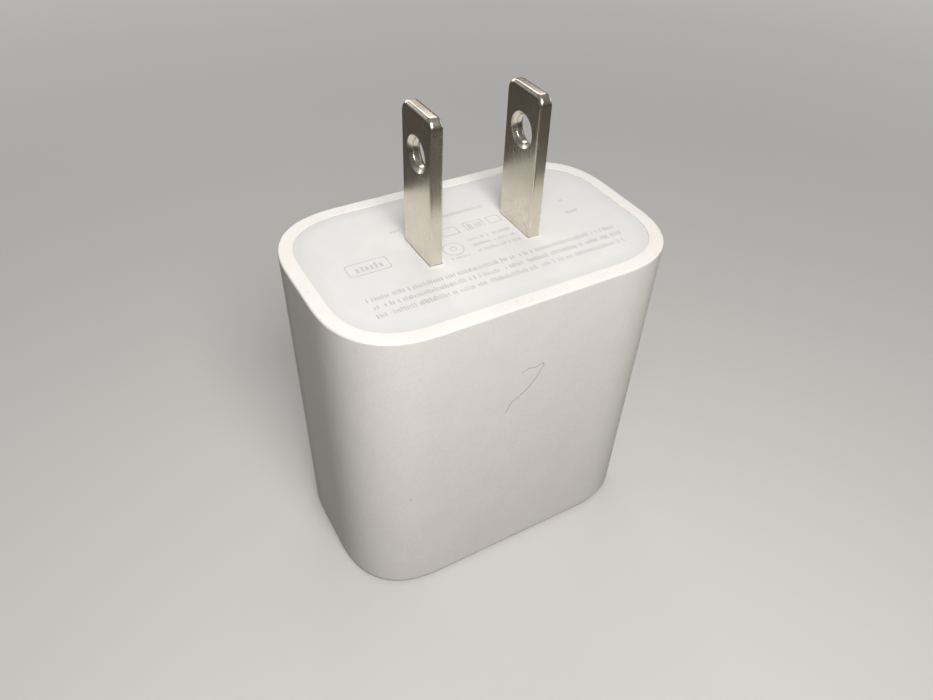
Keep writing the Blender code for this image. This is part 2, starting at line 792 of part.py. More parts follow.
def make_port_board():
    low_y, high_y = BOARD_FRONT_Y + 0.3 * MM, 7.0 * MM
    board = slab(
        "port_board",
        rounded_outline(27.0 * MM, high_y - low_y, 1.0 * MM, steps=3),
        PORT_BOARD_THICKNESS,
        (0, (low_y + high_y) / 2, PORT_BOARD_Z + PORT_BOARD_THICKNESS / 2),
        "XY",
        LAMINATE,
    )
    for number, (x, y) in enumerate(LINK_PLACES):
        hole = cylinder(
            f"link_hole_{number}", LEAD_HOLE_RADIUS, 4 * MM, (x, y, PORT_BOARD_Z), segments=12
        )
        cut(board, hole)
    radius, length = 3.15 * MM, 6.0 * MM
    base = 0.7 * MM
    profile = [
        (0.0, length),
        (radius - 0.3 * MM, length),
        (radius - 0.3 * MM, base + 0.6 * MM),
        (radius, base + 0.3 * MM),
        (radius, base - 0.4 * MM),
        (radius - 0.35 * MM, base - 0.7 * MM),
        (0.0, base - 0.7 * MM),
    ]
    for number, side in ((1, -1), (2, 1)):
        place = (side * OUTPUT_CAPACITOR_X, -1.0 * MM, PORT_BOARD_Z - TOUCH_GAP - length)
        turned(f"output_capacitor_{number}", profile, place, "Z", ALUMINIUM, steps=20)
    top = PORT_BOARD_Z + PORT_BOARD_THICKNESS + 0.05 * MM
    small = (
        ("port_controller", (4.0 * MM, 4.0 * MM, 0.75 * MM), (-6.0 * MM, 2.5 * MM), EPOXY),
        ("power_switch", (3.2 * MM, 3.2 * MM, 0.8 * MM), (0.6 * MM, 2.8 * MM), EPOXY),
        ("ceramic_capacitor_1", (2.0 * MM, 1.25 * MM, 0.8 * MM), (5.2 * MM, 4.4 * MM), CERAMIC),
        ("ceramic_capacitor_2", (2.0 * MM, 1.25 * MM, 0.8 * MM), (5.2 * MM, 1.8 * MM), CERAMIC),
        ("sense_resistor", (3.2 * MM, 1.6 * MM, 0.6 * MM), (10.0 * MM, -4.2 * MM), EPOXY),
    )
    for name, size, (x, y), material in small:
        bevel(box(name, size, (x, y, top + size[2] / 2), material), 0.1 * MM)


def contact_places(y, z):
    first = -(CONTACTS_PER_ROW - 1) / 2 * CONTACT_PITCH
    return [(first + i * CONTACT_PITCH, y, z) for i in range(CONTACTS_PER_ROW)]


def make_receptacle():
    """The USB-C receptacle: drawn steel shell, moulded tongue, mid plate, two contact rows."""
    length = PORT_TOP_Z - PORT_RECESS
    centre = (0, 0, PORT_RECESS + length / 2)
    shell = slab("usb_c_shell", port_outline(PORT_SHELL_WALL), length, centre, "XY", STEEL)
    cut(shell, slab("shell_inside", port_outline(0), length * 2, centre))

    base_height = PORT_TOP_Z - 0.1 * MM - INSULATOR_Z
    insulator = slab(
        "usb_c_insulator",
        port_outline(-0.05 * MM),
        base_height,
        (0, 0, INSULATOR_Z + base_height / 2),
        "XY",
        INSULATOR,
    )
    tongue_height = INSULATOR_Z + 0.5 * MM - TONGUE_TIP_Z
    tongue = box(
        "tongue",
        (TONGUE_WIDTH, TONGUE_THICKNESS, tongue_height),
        (0, 0, TONGUE_TIP_Z + tongue_height / 2),
    )
    join(insulator, bevel(tongue, 0.08 * MM))

    plate_thickness, slot_gap = 0.15 * MM, 0.02 * MM
    plate_low, plate_high = TONGUE_TIP_Z + 0.4 * MM, PORT_TOP_Z - 0.3 * MM
    plate_centre_z = (plate_low + plate_high) / 2
    plate_height = plate_high - plate_low
    plate_width = TONGUE_WIDTH + 0.2 * MM
    box("usb_c_mid_plate", (plate_width, plate_thickness, plate_height), (0, 0, plate_centre_z), STEEL)
    plate_slot = box(
        "mid_plate_slot",
        (plate_width + 2 * slot_gap, plate_thickness + 2 * slot_gap, plate_height + 2 * slot_gap),
        (0, 0, plate_centre_z),
    )
    cut(insulator, plate_slot)

    contact_low, contact_high = TONGUE_TIP_Z + 0.45 * MM, PORT_TOP_Z - 0.4 * MM
    contact_height = contact_high - contact_low
    contact_z = (contact_low + contact_high) / 2
    face = TONGUE_THICKNESS / 2
    bar_height = 0.5 * MM
    row_width = (CONTACTS_PER_ROW - 1) * CONTACT_PITCH + CONTACT_WIDTH
    for name, side in (("usb_c_contacts_front", -1), ("usb_c_contacts_back", 1)):
        y = side * (face - CONTACT_THICKNESS / 2)
        bar_centre = (0, y, contact_high - bar_height / 2)
        row = box(name, (row_width, CONTACT_THICKNESS, bar_height), bar_centre, GOLD)
        strip = (CONTACT_WIDTH, CONTACT_THICKNESS, contact_height - bar_height / 2)
        strips = block_set(
            name + "_strips", strip, contact_places(y, contact_z - bar_height / 4)
        )
        join(row, strips)
        groove = (
            CONTACT_WIDTH + 2 * slot_gap,
            CONTACT_THICKNESS + 2 * slot_gap,
            contact_height + 2 * slot_gap,
        )
        cut(insulator, block_set(name + "_grooves", groove, contact_places(y, contact_z)))
        bar_slot = box(
            name + "_bar_slot",
            (row_width + 2 * slot_gap, CONTACT_THICKNESS + 2.2 * slot_gap, bar_height + 1 * MM),
            (0, y, contact_high - bar_height + 0.5 * MM),
        )
        cut(insulator, bar_slot)


# ---------------------------------------------------------------- heat and insulation


def make_heat_spreader(core_x, core_top_y, core_z):
    """A bent aluminium tray over the tall parts, and the soft pads that carry heat to it."""
    half, depth, thickness = 12.6 * MM, 1.2 * MM, 0.5 * MM
    back_y = 10.65 * MM
    outline = [
        (-half, back_y),
        (-half, back_y - depth),
        (-half + thickness, back_y - depth),
        (-half + thickness, back_y - thickness),
        (half - thickness, back_y - thickness),
        (half - thickness, back_y - depth),
        (half, back_y - depth),
        (half, back_y),
    ]
    low_z, high_z = 13.0 * MM, 33.0 * MM
    slab(
        "heat_spreader",
        outline,
        high_z - low_z,
        (0, 0, (low_z + high_z) / 2),
        "XY",
        ALUMINIUM,
    )
    pad_high_y = back_y - thickness - TOUCH_GAP
    pad_low_y = core_top_y + TOUCH_GAP
    pad = (7.0 * MM, pad_high_y - pad_low_y, 7.6 * MM)
    pad_centre = (core_x - 0.6 * MM, (pad_low_y + pad_high_y) / 2, core_z - 0.4 * MM)
    bevel(box("transformer_thermal_pad", pad, pad_centre, SILICONE), 0.3 * MM)


def make_insulation():
    film = 0.2 * MM
    film_y = -10.7 * MM
    slab(
        "insulation_sheet",
        rounded_outline(23.6 * MM, 28.0 * MM, 2.0 * MM, steps=3),
        film,
        (0, film_y, 19.0 * MM),
        "XZ",
        FILM,
    )


# ---------------------------------------------------------------- assembly


def make_charger():
    make_outer_shell()
    make_face_plate()
    make_blade_carrier()
    make_blades()
    make_contact_springs()

    make_bulk_capacitors()
    standing_box("x_capacitor", 12.6 * MM, 11.0 * MM, 5.4 * MM, -8.7 * MM, 24.4 * MM, YELLOW_BOX, 10 * MM)
    standing_box("input_fuse", 7.6 * MM, 7.2 * MM, 3.8 * MM, -11.2 * MM, 29.8 * MM, FUSE, 5.0 * MM)
    standing_disc("surge_varistor", 3.5 * MM, 3.0 * MM, 0.0, 30.2 * MM, BLUE_EPOXY)
    standing_disc("y_capacitor", 3.2 * MM, 2.4 * MM, 2.0 * MM, 26.6 * MM, BLUE_EPOXY)
    make_choke()
    core_x, core_top_y, core_z = make_transformer()

    chip("bridge_rectifier", 6.4 * MM, 1.4 * MM, 4.6 * MM, -8.6 * MM, 20.6 * MM, 2)
    chip("primary_controller", 4.9 * MM, 1.4 * MM, 3.9 * MM, -2.6 * MM, 21.0 * MM, 4)
    chip("optocoupler", 4.4 * MM, 1.7 * MM, 3.6 * MM, 1.4 * MM, 8.4 * MM, 2)
    chip("clamp_diode", 2.6 * MM, 1.2 * MM, 4.2 * MM, -6.9 * MM, 27.6 * MM, 1)
    chip("rectifier_mosfet", 5.0 * MM, 1.0 * MM, 6.0 * MM, 8.6 * MM, 18.4 * MM, 0)
    chip("startup_resistor", 3.2 * MM, 0.6 * MM, 1.6 * MM, -7.0 * MM, 9.0 * MM, 0)
    make_output_links()
    make_main_board()

    make_port_board()
    make_receptacle()
    make_heat_spreader(core_x, core_top_y, core_z)
    make_insulation()


make_charger()
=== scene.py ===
"""The looks of a white USB-C wall charger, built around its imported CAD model.

Lengths are in metres unless a name ends in _mm. The frame is the CAD's: the charger stands on its
port end at z = 0, the blades point up, +X runs from blade to blade and -Y is the wide front side.
The visible pieces are rebuilt here as fine closed meshes; the pieces inside keep their CAD shapes
and get procedural materials.
"""

import math

import bmesh
import bpy
from mathutils import Matrix, Vector
from mathutils.geometry import tessellate_polygon


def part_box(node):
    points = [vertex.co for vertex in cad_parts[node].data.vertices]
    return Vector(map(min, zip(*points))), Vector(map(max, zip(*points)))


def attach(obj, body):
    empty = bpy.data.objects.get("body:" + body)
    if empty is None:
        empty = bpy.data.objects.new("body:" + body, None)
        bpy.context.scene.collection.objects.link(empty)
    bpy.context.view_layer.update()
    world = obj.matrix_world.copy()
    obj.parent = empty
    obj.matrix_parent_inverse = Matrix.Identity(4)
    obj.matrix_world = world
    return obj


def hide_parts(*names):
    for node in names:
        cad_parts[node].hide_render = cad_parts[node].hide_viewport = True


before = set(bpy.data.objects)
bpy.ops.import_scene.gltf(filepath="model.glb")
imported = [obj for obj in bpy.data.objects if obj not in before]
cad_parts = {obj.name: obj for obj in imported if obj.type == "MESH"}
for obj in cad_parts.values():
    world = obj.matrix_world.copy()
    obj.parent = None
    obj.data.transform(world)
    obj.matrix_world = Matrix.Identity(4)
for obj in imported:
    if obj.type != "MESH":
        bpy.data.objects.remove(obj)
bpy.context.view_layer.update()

MM = 0.001

# Body and end plate. The rim is 0.05 mm wider than the CAD's, which looks closer to the photograph.
SHELL_LOW, SHELL_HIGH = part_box("outer_shell")
BODY_WIDTH = SHELL_HIGH[0] - SHELL_LOW[0]
BODY_DEPTH = SHELL_HIGH[1] - SHELL_LOW[1]
BODY_HEIGHT = SHELL_HIGH[2]
DRAFT = 0.45 * MM
CORNER_RADIUS = 10.4 * MM
CORNER_POWER = 2.5
CORNER_SHRINK = 1.2  # how much the corner radius shrinks for each unit that the outline moves in
WALL = 2.1 * MM
FLOOR = 2.0 * MM
PORT_END_ROUND = 0.7 * MM
RIM_ROUND = 0.24 * MM
RIM_WIDTH = 1.70 * MM
RIM_INNER_ROUND = 0.04 * MM
SEAM = 0.01 * MM
PLATE_TOP_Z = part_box("face_plate")[1][2]
PLATE_THICKNESS = 2.2 * MM
PLATE_LOW_Z = PLATE_TOP_Z - PLATE_THICKNESS
LEDGE_Z = PLATE_LOW_Z - 0.1 * MM
PLATE_EDGE_ROUND = 0.04 * MM
COLLAR_INSET = WALL + 0.15 * MM
COLLAR_WALL = 1.2 * MM
COLLAR_DEPTH = 2.0 * MM
CORNER_STEPS = 40
FILLET_STEPS = 8
WALL_RING_SHARES = (0.25, 0.5, 0.75)
# A ring this far from each rounded edge keeps its shading off the flat face beside it.
SUPPORT = 0.03 * MM
PLATE_SUPPORT = 0.02 * MM

# Blades.
BLADE_LOW, BLADE_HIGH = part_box("right_blade")
BLADE_X = (BLADE_LOW[0] + BLADE_HIGH[0]) / 2
BLADE_Y = (BLADE_LOW[1] + BLADE_HIGH[1]) / 2
BLADE_THICKNESS = BLADE_HIGH[0] - BLADE_LOW[0]
BLADE_WIDTH = 6.35 * MM
BLADE_TIP_Z = BLADE_HIGH[2]
BLADE_TAIL_Z = BLADE_LOW[2]
BLADE_TIP_RADIUS = 1.1 * MM
BLADE_EDGE_ROUND = 0.22 * MM
BLADE_TIP_EDGE_GROWTH = 0.95
HOLE_Z = BODY_HEIGHT + 11.7 * MM
HOLE_RADIUS = 1.6 * MM
HOLE_CHAMFER = 0.42 * MM
HOLE_EDGE_SOFTNESS = 0.06 * MM
SLOT_GAP = 0.03 * MM
SLOT_CORNER = 0.2 * MM
BOSS_SEAM_OUT = 0.36 * MM
BOSS_SEAM_WIDTH = 0.08 * MM
BOSS_SEAM_DEPTH = 0.12 * MM
CARRIER_LOW_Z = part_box("blade_carrier")[0][2]
SHOULDER_LOW_Z = CARRIER_LOW_Z + 0.7 * MM
SHOULDER_HIGH_Z = SHOULDER_LOW_Z + 1.2 * MM
SHOULDER_WIDTH = 8.4 * MM
TAIL_WIDTH = 4.0 * MM
STAKE_X = 10.4 * MM
STAKE_RADIUS = 0.9 * MM
STAKE_HEAD_REACH = 0.7 * MM
STAKE_HEAD_HEIGHT = 0.6 * MM
STAKE_HEAD_FLARE = 0.5 * MM

# Receptacle.
PORT_INNER_WIDTH = 8.34 * MM
PORT_INNER_HEIGHT = 2.56 * MM
PORT_SHELL_WALL = 0.3 * MM
PORT_OPENING_GAP = 0.12 * MM
PORT_LEAD_IN = 0.15 * MM
PORT_LOW, PORT_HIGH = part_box("usb_c_shell")
BOSS_SIZE = (13.0 * MM, 6.4 * MM)
BOSS_CORNER = 1.5 * MM
BOSS_HEIGHT = 1.6 * MM

# The photograph's viewpoint, from a fit of the model's outlines to it.
CAMERA_PLACE = (-39.443 * MM, -64.374 * MM, 90.309 * MM)
CAMERA_AZIMUTH = math.radians(-31.18)
CAMERA_ELEVATION = math.radians(41.04)
CAMERA_ROLL = math.radians(2.336)
CAMERA_LENS_MM = 30.04
CAMERA_SENSOR_MM = 36.0
CAMERA_CLIP_START = 5.0 * MM


# ---------------------------------------------------------------- meshes


class Surface:
    """Collects rings of points and the faces between them into one closed mesh."""

    def __init__(self):
        self.points = []
        self.faces = []
        self.smooth = []

    def ring(self, points):
        first = len(self.points)
        self.points.extend(points)
        return list(range(first, len(self.points)))

    def tube(self, *rings):
        for low, high in zip(rings, rings[1:]):
            count = len(low)
            for i in range(count):
                j = (i + 1) % count
                self.faces.append((low[i], low[j], high[j], high[i]))
                self.smooth.append(True)

    def cap(self, outline, *holes):
        loops = (outline, *holes)
        index = [i for loop in loops for i in loop]
        corners = [[Vector(self.points[i]) for i in loop] for loop in loops]
        for triangle in tessellate_polygon(corners):
            self.faces.append(tuple(index[k] for k in triangle))
            self.smooth.append(False)

    def build(self, node, material):
        """Makes the object, facing out, and lets it stand for one CAD node on the root body."""
        name = node + "_visual"
        mesh = bpy.data.meshes.new(name)
        mesh.from_pydata(self.points, [], self.faces)
        mesh.polygons.foreach_set("use_smooth", self.smooth)
        shape = bmesh.new()
        shape.from_mesh(mesh)
        bmesh.ops.recalc_face_normals(shape, faces=shape.faces)
        shape.to_mesh(mesh)
        shape.free()
        mesh.materials.append(material)
        obj = bpy.data.objects.new(name, mesh)
        bpy.context.scene.collection.objects.link(obj)
        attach(obj, "root")
        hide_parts(node)
        return obj


def rounded_outline(width, depth, radius, power=2.0, steps=CORNER_STEPS):
    """A rounded rectangle whose corners are superellipse quarters; power 2 makes them arcs."""
    points = []
    for quarter in range(4):
        side_x = 1 if quarter in (0, 3) else -1
        side_y = 1 if quarter in (0, 1) else -1
        for step in range(steps + 1):
            angle = (quarter + step / steps) * math.pi / 2
            across = math.copysign(abs(math.cos(angle)) ** (2 / power), math.cos(angle))
            up = math.copysign(abs(math.sin(angle)) ** (2 / power), math.sin(angle))
            points.append(
                (
                    side_x * (width / 2 - radius) + radius * across,
                    side_y * (depth / 2 - radius) + radius * up,
                )
            )
    return points


def body_outline(inset):
    """The body's outline at the rim, moved in by inset."""
    return rounded_outline(
        BODY_WIDTH - 2 * inset,
        BODY_DEPTH - 2 * inset,
        CORNER_RADIUS - CORNER_SHRINK * inset,
        CORNER_POWER,
    )


def body_ring(surface, inset, z):
    """The body's outline, moved in by inset, at a height of its drafted wall."""
    share = 1 - z / BODY_HEIGHT
    along = 1 - 2 * DRAFT * share / BODY_WIDTH
    across = 1 - 2 * DRAFT * share / BODY_DEPTH
    return surface.ring([(x * along, y * across, z) for x, y in body_outline(inset)])


def straight_ring(surface, inset, z):
    """As body_ring, without draft, for the plate that closes the rim."""
    return surface.ring([(x, y, z) for x, y in body_outline(inset)])


def port_ring(surface, grow, z):
    """The receptacle's mouth with its fully round ends, grown all round, at a height."""
    height = PORT_INNER_HEIGHT + 2 * grow
    outline = rounded_outline(PORT_INNER_WIDTH + 2 * grow, height, height / 2 * 0.999)
    return surface.ring([(x, y, z) for x, y in outline])


def circle_ring(surface, centre, radius, z, steps=32):
    turn = 2 * math.pi / steps
    return surface.ring(
        [
            (centre[0] + radius * math.cos(i * turn), centre[1] + radius * math.sin(i * turn), z)
            for i in range(steps)
        ]
    )


def slot_ring(surface, side, grow, z):
    """The outline of one blade's slot in the end plate, grown all round."""
    outline = rounded_outline(
        BLADE_THICKNESS + 2 * (SLOT_GAP + grow),
        BLADE_WIDTH + 2 * (SLOT_GAP + grow),
        SLOT_CORNER + grow,
        steps=8,
    )
    return surface.ring([(side * BLADE_X + x, BLADE_Y + y, z) for x, y in outline])


def fillet(radius, steps=FILLET_STEPS):
    """(inset, drop) pairs round a convex edge, from the flat top to the vertical side."""
    turn = math.pi / 2 / steps
    return [
        (radius * (1 - math.sin(i * turn)), radius * (1 - math.cos(i * turn)))
        for i in range(steps + 1)
    ]


def make_outer_shell(material):
    s = Surface()
    # Outside, from the middle of the port end, up the wall and over the rim.
    outside = [body_ring(s, PORT_END_ROUND + SUPPORT, 0.0)]
    outside += [body_ring(s, inset, drop) for inset, drop in fillet(PORT_END_ROUND)]
    outside.append(body_ring(s, 0.0, PORT_END_ROUND + SUPPORT))
    for part in WALL_RING_SHARES:
        outside.append(body_ring(s, 0.0, part * BODY_HEIGHT))
    outside.append(body_ring(s, 0.0, BODY_HEIGHT - RIM_ROUND - SUPPORT))
    rim = reversed(fillet(RIM_ROUND))
    outside += [body_ring(s, inset, BODY_HEIGHT - drop) for inset, drop in rim]
    inner_edge = RIM_WIDTH - RIM_INNER_ROUND
    outside.append(body_ring(s, RIM_ROUND + SUPPORT, BODY_HEIGHT))
    outside.append(body_ring(s, inner_edge - SUPPORT, BODY_HEIGHT))
    for inset, drop in fillet(RIM_INNER_ROUND, 4):
        outside.append(body_ring(s, RIM_WIDTH - inset, BODY_HEIGHT - drop))
    # Inside, down past the ledge to the floor.
    outside.append(body_ring(s, RIM_WIDTH, LEDGE_Z))
    outside.append(body_ring(s, WALL, LEDGE_Z))
    outside.append(body_ring(s, WALL, FLOOR))
    s.tube(*outside)
    # Boss round the receptacle, and the opening through it.
    boss = rounded_outline(*BOSS_SIZE, BOSS_CORNER, steps=8)
    boss_low = s.ring([(x, y, FLOOR) for x, y in boss])
    boss_high = s.ring([(x, y, FLOOR + BOSS_HEIGHT) for x, y in boss])
    s.tube(boss_low, boss_high)
    gap = PORT_SHELL_WALL + PORT_OPENING_GAP
    opening = [port_ring(s, gap, FLOOR + BOSS_HEIGHT)]
    for inset, drop in reversed(fillet(PORT_LEAD_IN, 5)):
        opening.append(port_ring(s, gap + PORT_LEAD_IN - inset, drop))
    s.tube(*opening)
    s.cap(outside[-1], boss_low)
    s.cap(boss_high, opening[0])
    s.cap(outside[0], opening[-1])
    return s.build("outer_shell", material)


def make_face_plate(material):
    s = Surface()
    edge = RIM_WIDTH + SEAM
    outside = [straight_ring(s, edge + PLATE_EDGE_ROUND + PLATE_SUPPORT, PLATE_TOP_Z)]
    for inset, drop in fillet(PLATE_EDGE_ROUND, 4):
        outside.append(straight_ring(s, edge + inset, PLATE_TOP_Z - drop))
    outside.append(straight_ring(s, edge, PLATE_LOW_Z))
    outside.append(straight_ring(s, COLLAR_INSET, PLATE_LOW_Z))
    outside.append(straight_ring(s, COLLAR_INSET, PLATE_LOW_Z - COLLAR_DEPTH))
    outside.append(straight_ring(s, COLLAR_INSET + COLLAR_WALL, PLATE_LOW_Z - COLLAR_DEPTH))
    outside.append(straight_ring(s, COLLAR_INSET + COLLAR_WALL, PLATE_LOW_Z))
    s.tube(*outside)
    tops, lows = [], []
    seam_low_z = PLATE_TOP_Z - BOSS_SEAM_DEPTH
    seam_out = BOSS_SEAM_OUT + BOSS_SEAM_WIDTH
    for side in (-1, 1):
        seam = [
            slot_ring(s, side, seam_out, PLATE_TOP_Z),
            slot_ring(s, side, seam_out, seam_low_z),
            slot_ring(s, side, BOSS_SEAM_OUT, seam_low_z),
            slot_ring(s, side, BOSS_SEAM_OUT, PLATE_TOP_Z),
        ]
        s.tube(*seam)
        tops.append(seam[0])
        slot = [slot_ring(s, side, PLATE_EDGE_ROUND + PLATE_SUPPORT, PLATE_TOP_Z)]
        for inset, drop in fillet(PLATE_EDGE_ROUND, 4):
            slot.append(slot_ring(s, side, inset, PLATE_TOP_Z - drop))
        slot.append(slot_ring(s, side, 0.0, PLATE_LOW_Z))
        s.tube(*slot)
        s.cap(seam[-1], slot[0])
        lows.append(slot[-1])
    # The stake's post, then its melted head, as (radius, z).
    head_low = CARRIER_LOW_Z - STAKE_HEAD_REACH
    head_high = head_low + STAKE_HEAD_HEIGHT
    head_radius = STAKE_RADIUS + STAKE_HEAD_FLARE
    profile = [
        (STAKE_RADIUS, PLATE_LOW_Z),
        (STAKE_RADIUS, head_high),
        (head_radius, head_high),
        (head_radius, head_low + 0.25 * MM),
        (STAKE_RADIUS + 0.3 * MM, head_low + 0.08 * MM),
        (STAKE_RADIUS, head_low),
    ]
    for side in (-1, 1):
        centre = (side * STAKE_X, BLADE_Y)
        stake = [circle_ring(s, centre, radius, z) for radius, z in profile]
        s.tube(*stake)
        s.cap(stake[-1])
        lows.append(stake[0])
    s.cap(outside[0], *tops)
    s.cap(outside[-1], *lows)
    return s.build("face_plate", material)


def blade_outline():
    """The flat blade from its tail to its rounded tip, in Y and Z."""
    half = BLADE_WIDTH / 2
    slope = 0.1 * MM
    side = [
        (TAIL_WIDTH / 2, BLADE_TAIL_Z),
        (TAIL_WIDTH / 2, CARRIER_LOW_Z),
        (half, CARRIER_LOW_Z + slope),
        (half, SHOULDER_LOW_Z),
        (SHOULDER_WIDTH / 2, SHOULDER_LOW_Z + slope),
        (SHOULDER_WIDTH / 2, SHOULDER_HIGH_Z - slope),
        (half, SHOULDER_HIGH_Z),
        (half, SHOULDER_HIGH_Z + 0.5 * MM),
        (half, BLADE_TIP_Z - BLADE_TIP_RADIUS - 0.2 * MM),
    ]
    steps = 16
    for step in range(steps + 1):
        angle = step / steps * math.pi / 2
        side.append(
            (
                half - BLADE_TIP_RADIUS * (1 - math.cos(angle)),
                BLADE_TIP_Z - BLADE_TIP_RADIUS * (1 - math.sin(angle)),
            )
        )
    return side + [(-y, z) for y, z in reversed(side)]


def edge_growth(z):
    """How much rounder the blade's edges are at height z: they grow towards the tip."""
    share = (z - BLADE_TIP_Z) / (1.5 * BLADE_TIP_RADIUS) + 1
    share = min(max(share, 0.0), 1.0)
    return 1 + BLADE_TIP_EDGE_GROWTH * share * share * (3 - 2 * share)


def inset_outline(outline, inset):
    """The closed outline moved in by inset, with mitred corners. It runs anticlockwise."""
    moved = []
    count = len(outline)
    for i in range(count):
        before, here, after = (Vector(outline[(i + k) % count]) for k in (-1, 0, 1))
        into = (here - before).normalized()
        out = (after - here).normalized()
        normal_in = Vector((-into.y, into.x))
        normal_out = Vector((-out.y, out.x))
        middle = (normal_in + normal_out).normalized()
        moved.append(here + middle * inset * edge_growth(here.y) / middle.dot(normal_out))
    return moved


def make_blade(node, side, material):
    s = Surface()
    outline = blade_outline()
    half = BLADE_THICKNESS / 2
    centre_x = side * BLADE_X

    def outline_ring(face, inset, drop):
        """The outline on one side of the blade: inset within its face, and drop below it."""
        places = zip(outline, inset_outline(outline, inset))
        return s.ring(
            [
                (centre_x + face * (half - drop * edge_growth(start[1])), BLADE_Y + y, z)
                for start, (y, z) in places
            ]
        )

    def hole_ring(radius, x, steps=72):
        turn = 2 * math.pi / steps
        return s.ring(
            [
                (
                    centre_x + x,
                    BLADE_Y + radius * math.cos(i * turn),
                    HOLE_Z + radius * math.sin(i * turn),
                )
                for i in range(steps)
            ]
        )

    edges = fillet(BLADE_EDGE_ROUND, 6)
    skin = [outline_ring(1, BLADE_EDGE_ROUND + SUPPORT, 0.0)]
    skin += [outline_ring(1, inset, drop) for inset, drop in edges]
    skin.append(outline_ring(1, 0.0, BLADE_EDGE_ROUND + SUPPORT))
    skin.append(outline_ring(-1, 0.0, BLADE_EDGE_ROUND + SUPPORT))
    skin += [outline_ring(-1, inset, drop) for inset, drop in reversed(edges)]
    skin.append(outline_ring(-1, BLADE_EDGE_ROUND + SUPPORT, 0.0))
    s.tube(*skin)
    # The hole's chamfer with both its edges softened, as (radius, drop below the face).
    soft = HOLE_EDGE_SOFTNESS
    mouth = HOLE_RADIUS + HOLE_CHAMFER
    profile = [
        (mouth + soft + SUPPORT, 0.0),
        (mouth + soft, 0.0),
        (mouth + soft * 0.3, soft * 0.2),
        (mouth - soft * 0.6, soft * 0.75),
        (HOLE_RADIUS + soft * 0.6, HOLE_CHAMFER - soft * 0.4),
        (HOLE_RADIUS + soft * 0.1, HOLE_CHAMFER + soft * 0.3),
        (HOLE_RADIUS, HOLE_CHAMFER + soft),
    ]
    bore = [hole_ring(radius, half - drop) for radius, drop in profile]
    bore += [hole_ring(radius, -half + drop) for radius, drop in reversed(profile)]
    s.tube(*bore)
    s.cap(skin[0], bore[0])
    s.cap(skin[-1], bore[-1])
    return s.build(node, material)


def make_usb_shell(material):
    """The receptacle's drawn shell, with rolled lips at both ends."""
    s = Surface()
    lip = PORT_SHELL_WALL / 2
    steps = 8
    low, high = PORT_LOW[2], PORT_HIGH[2]
    rings = []
    for i in range(steps + 1):
        angle = math.pi * i / steps
        rings.append(port_ring(s, lip - lip * math.cos(angle), low + lip - lip * math.sin(angle)))
    for i in range(steps + 1):
        angle = math.pi * i / steps
        rings.append(port_ring(s, lip + lip * math.cos(angle), high - lip + lip * math.sin(angle)))
    s.tube(*rings, rings[0])
    return s.build("usb_c_shell", material)


# ---------------------------------------------------------------- material helpers


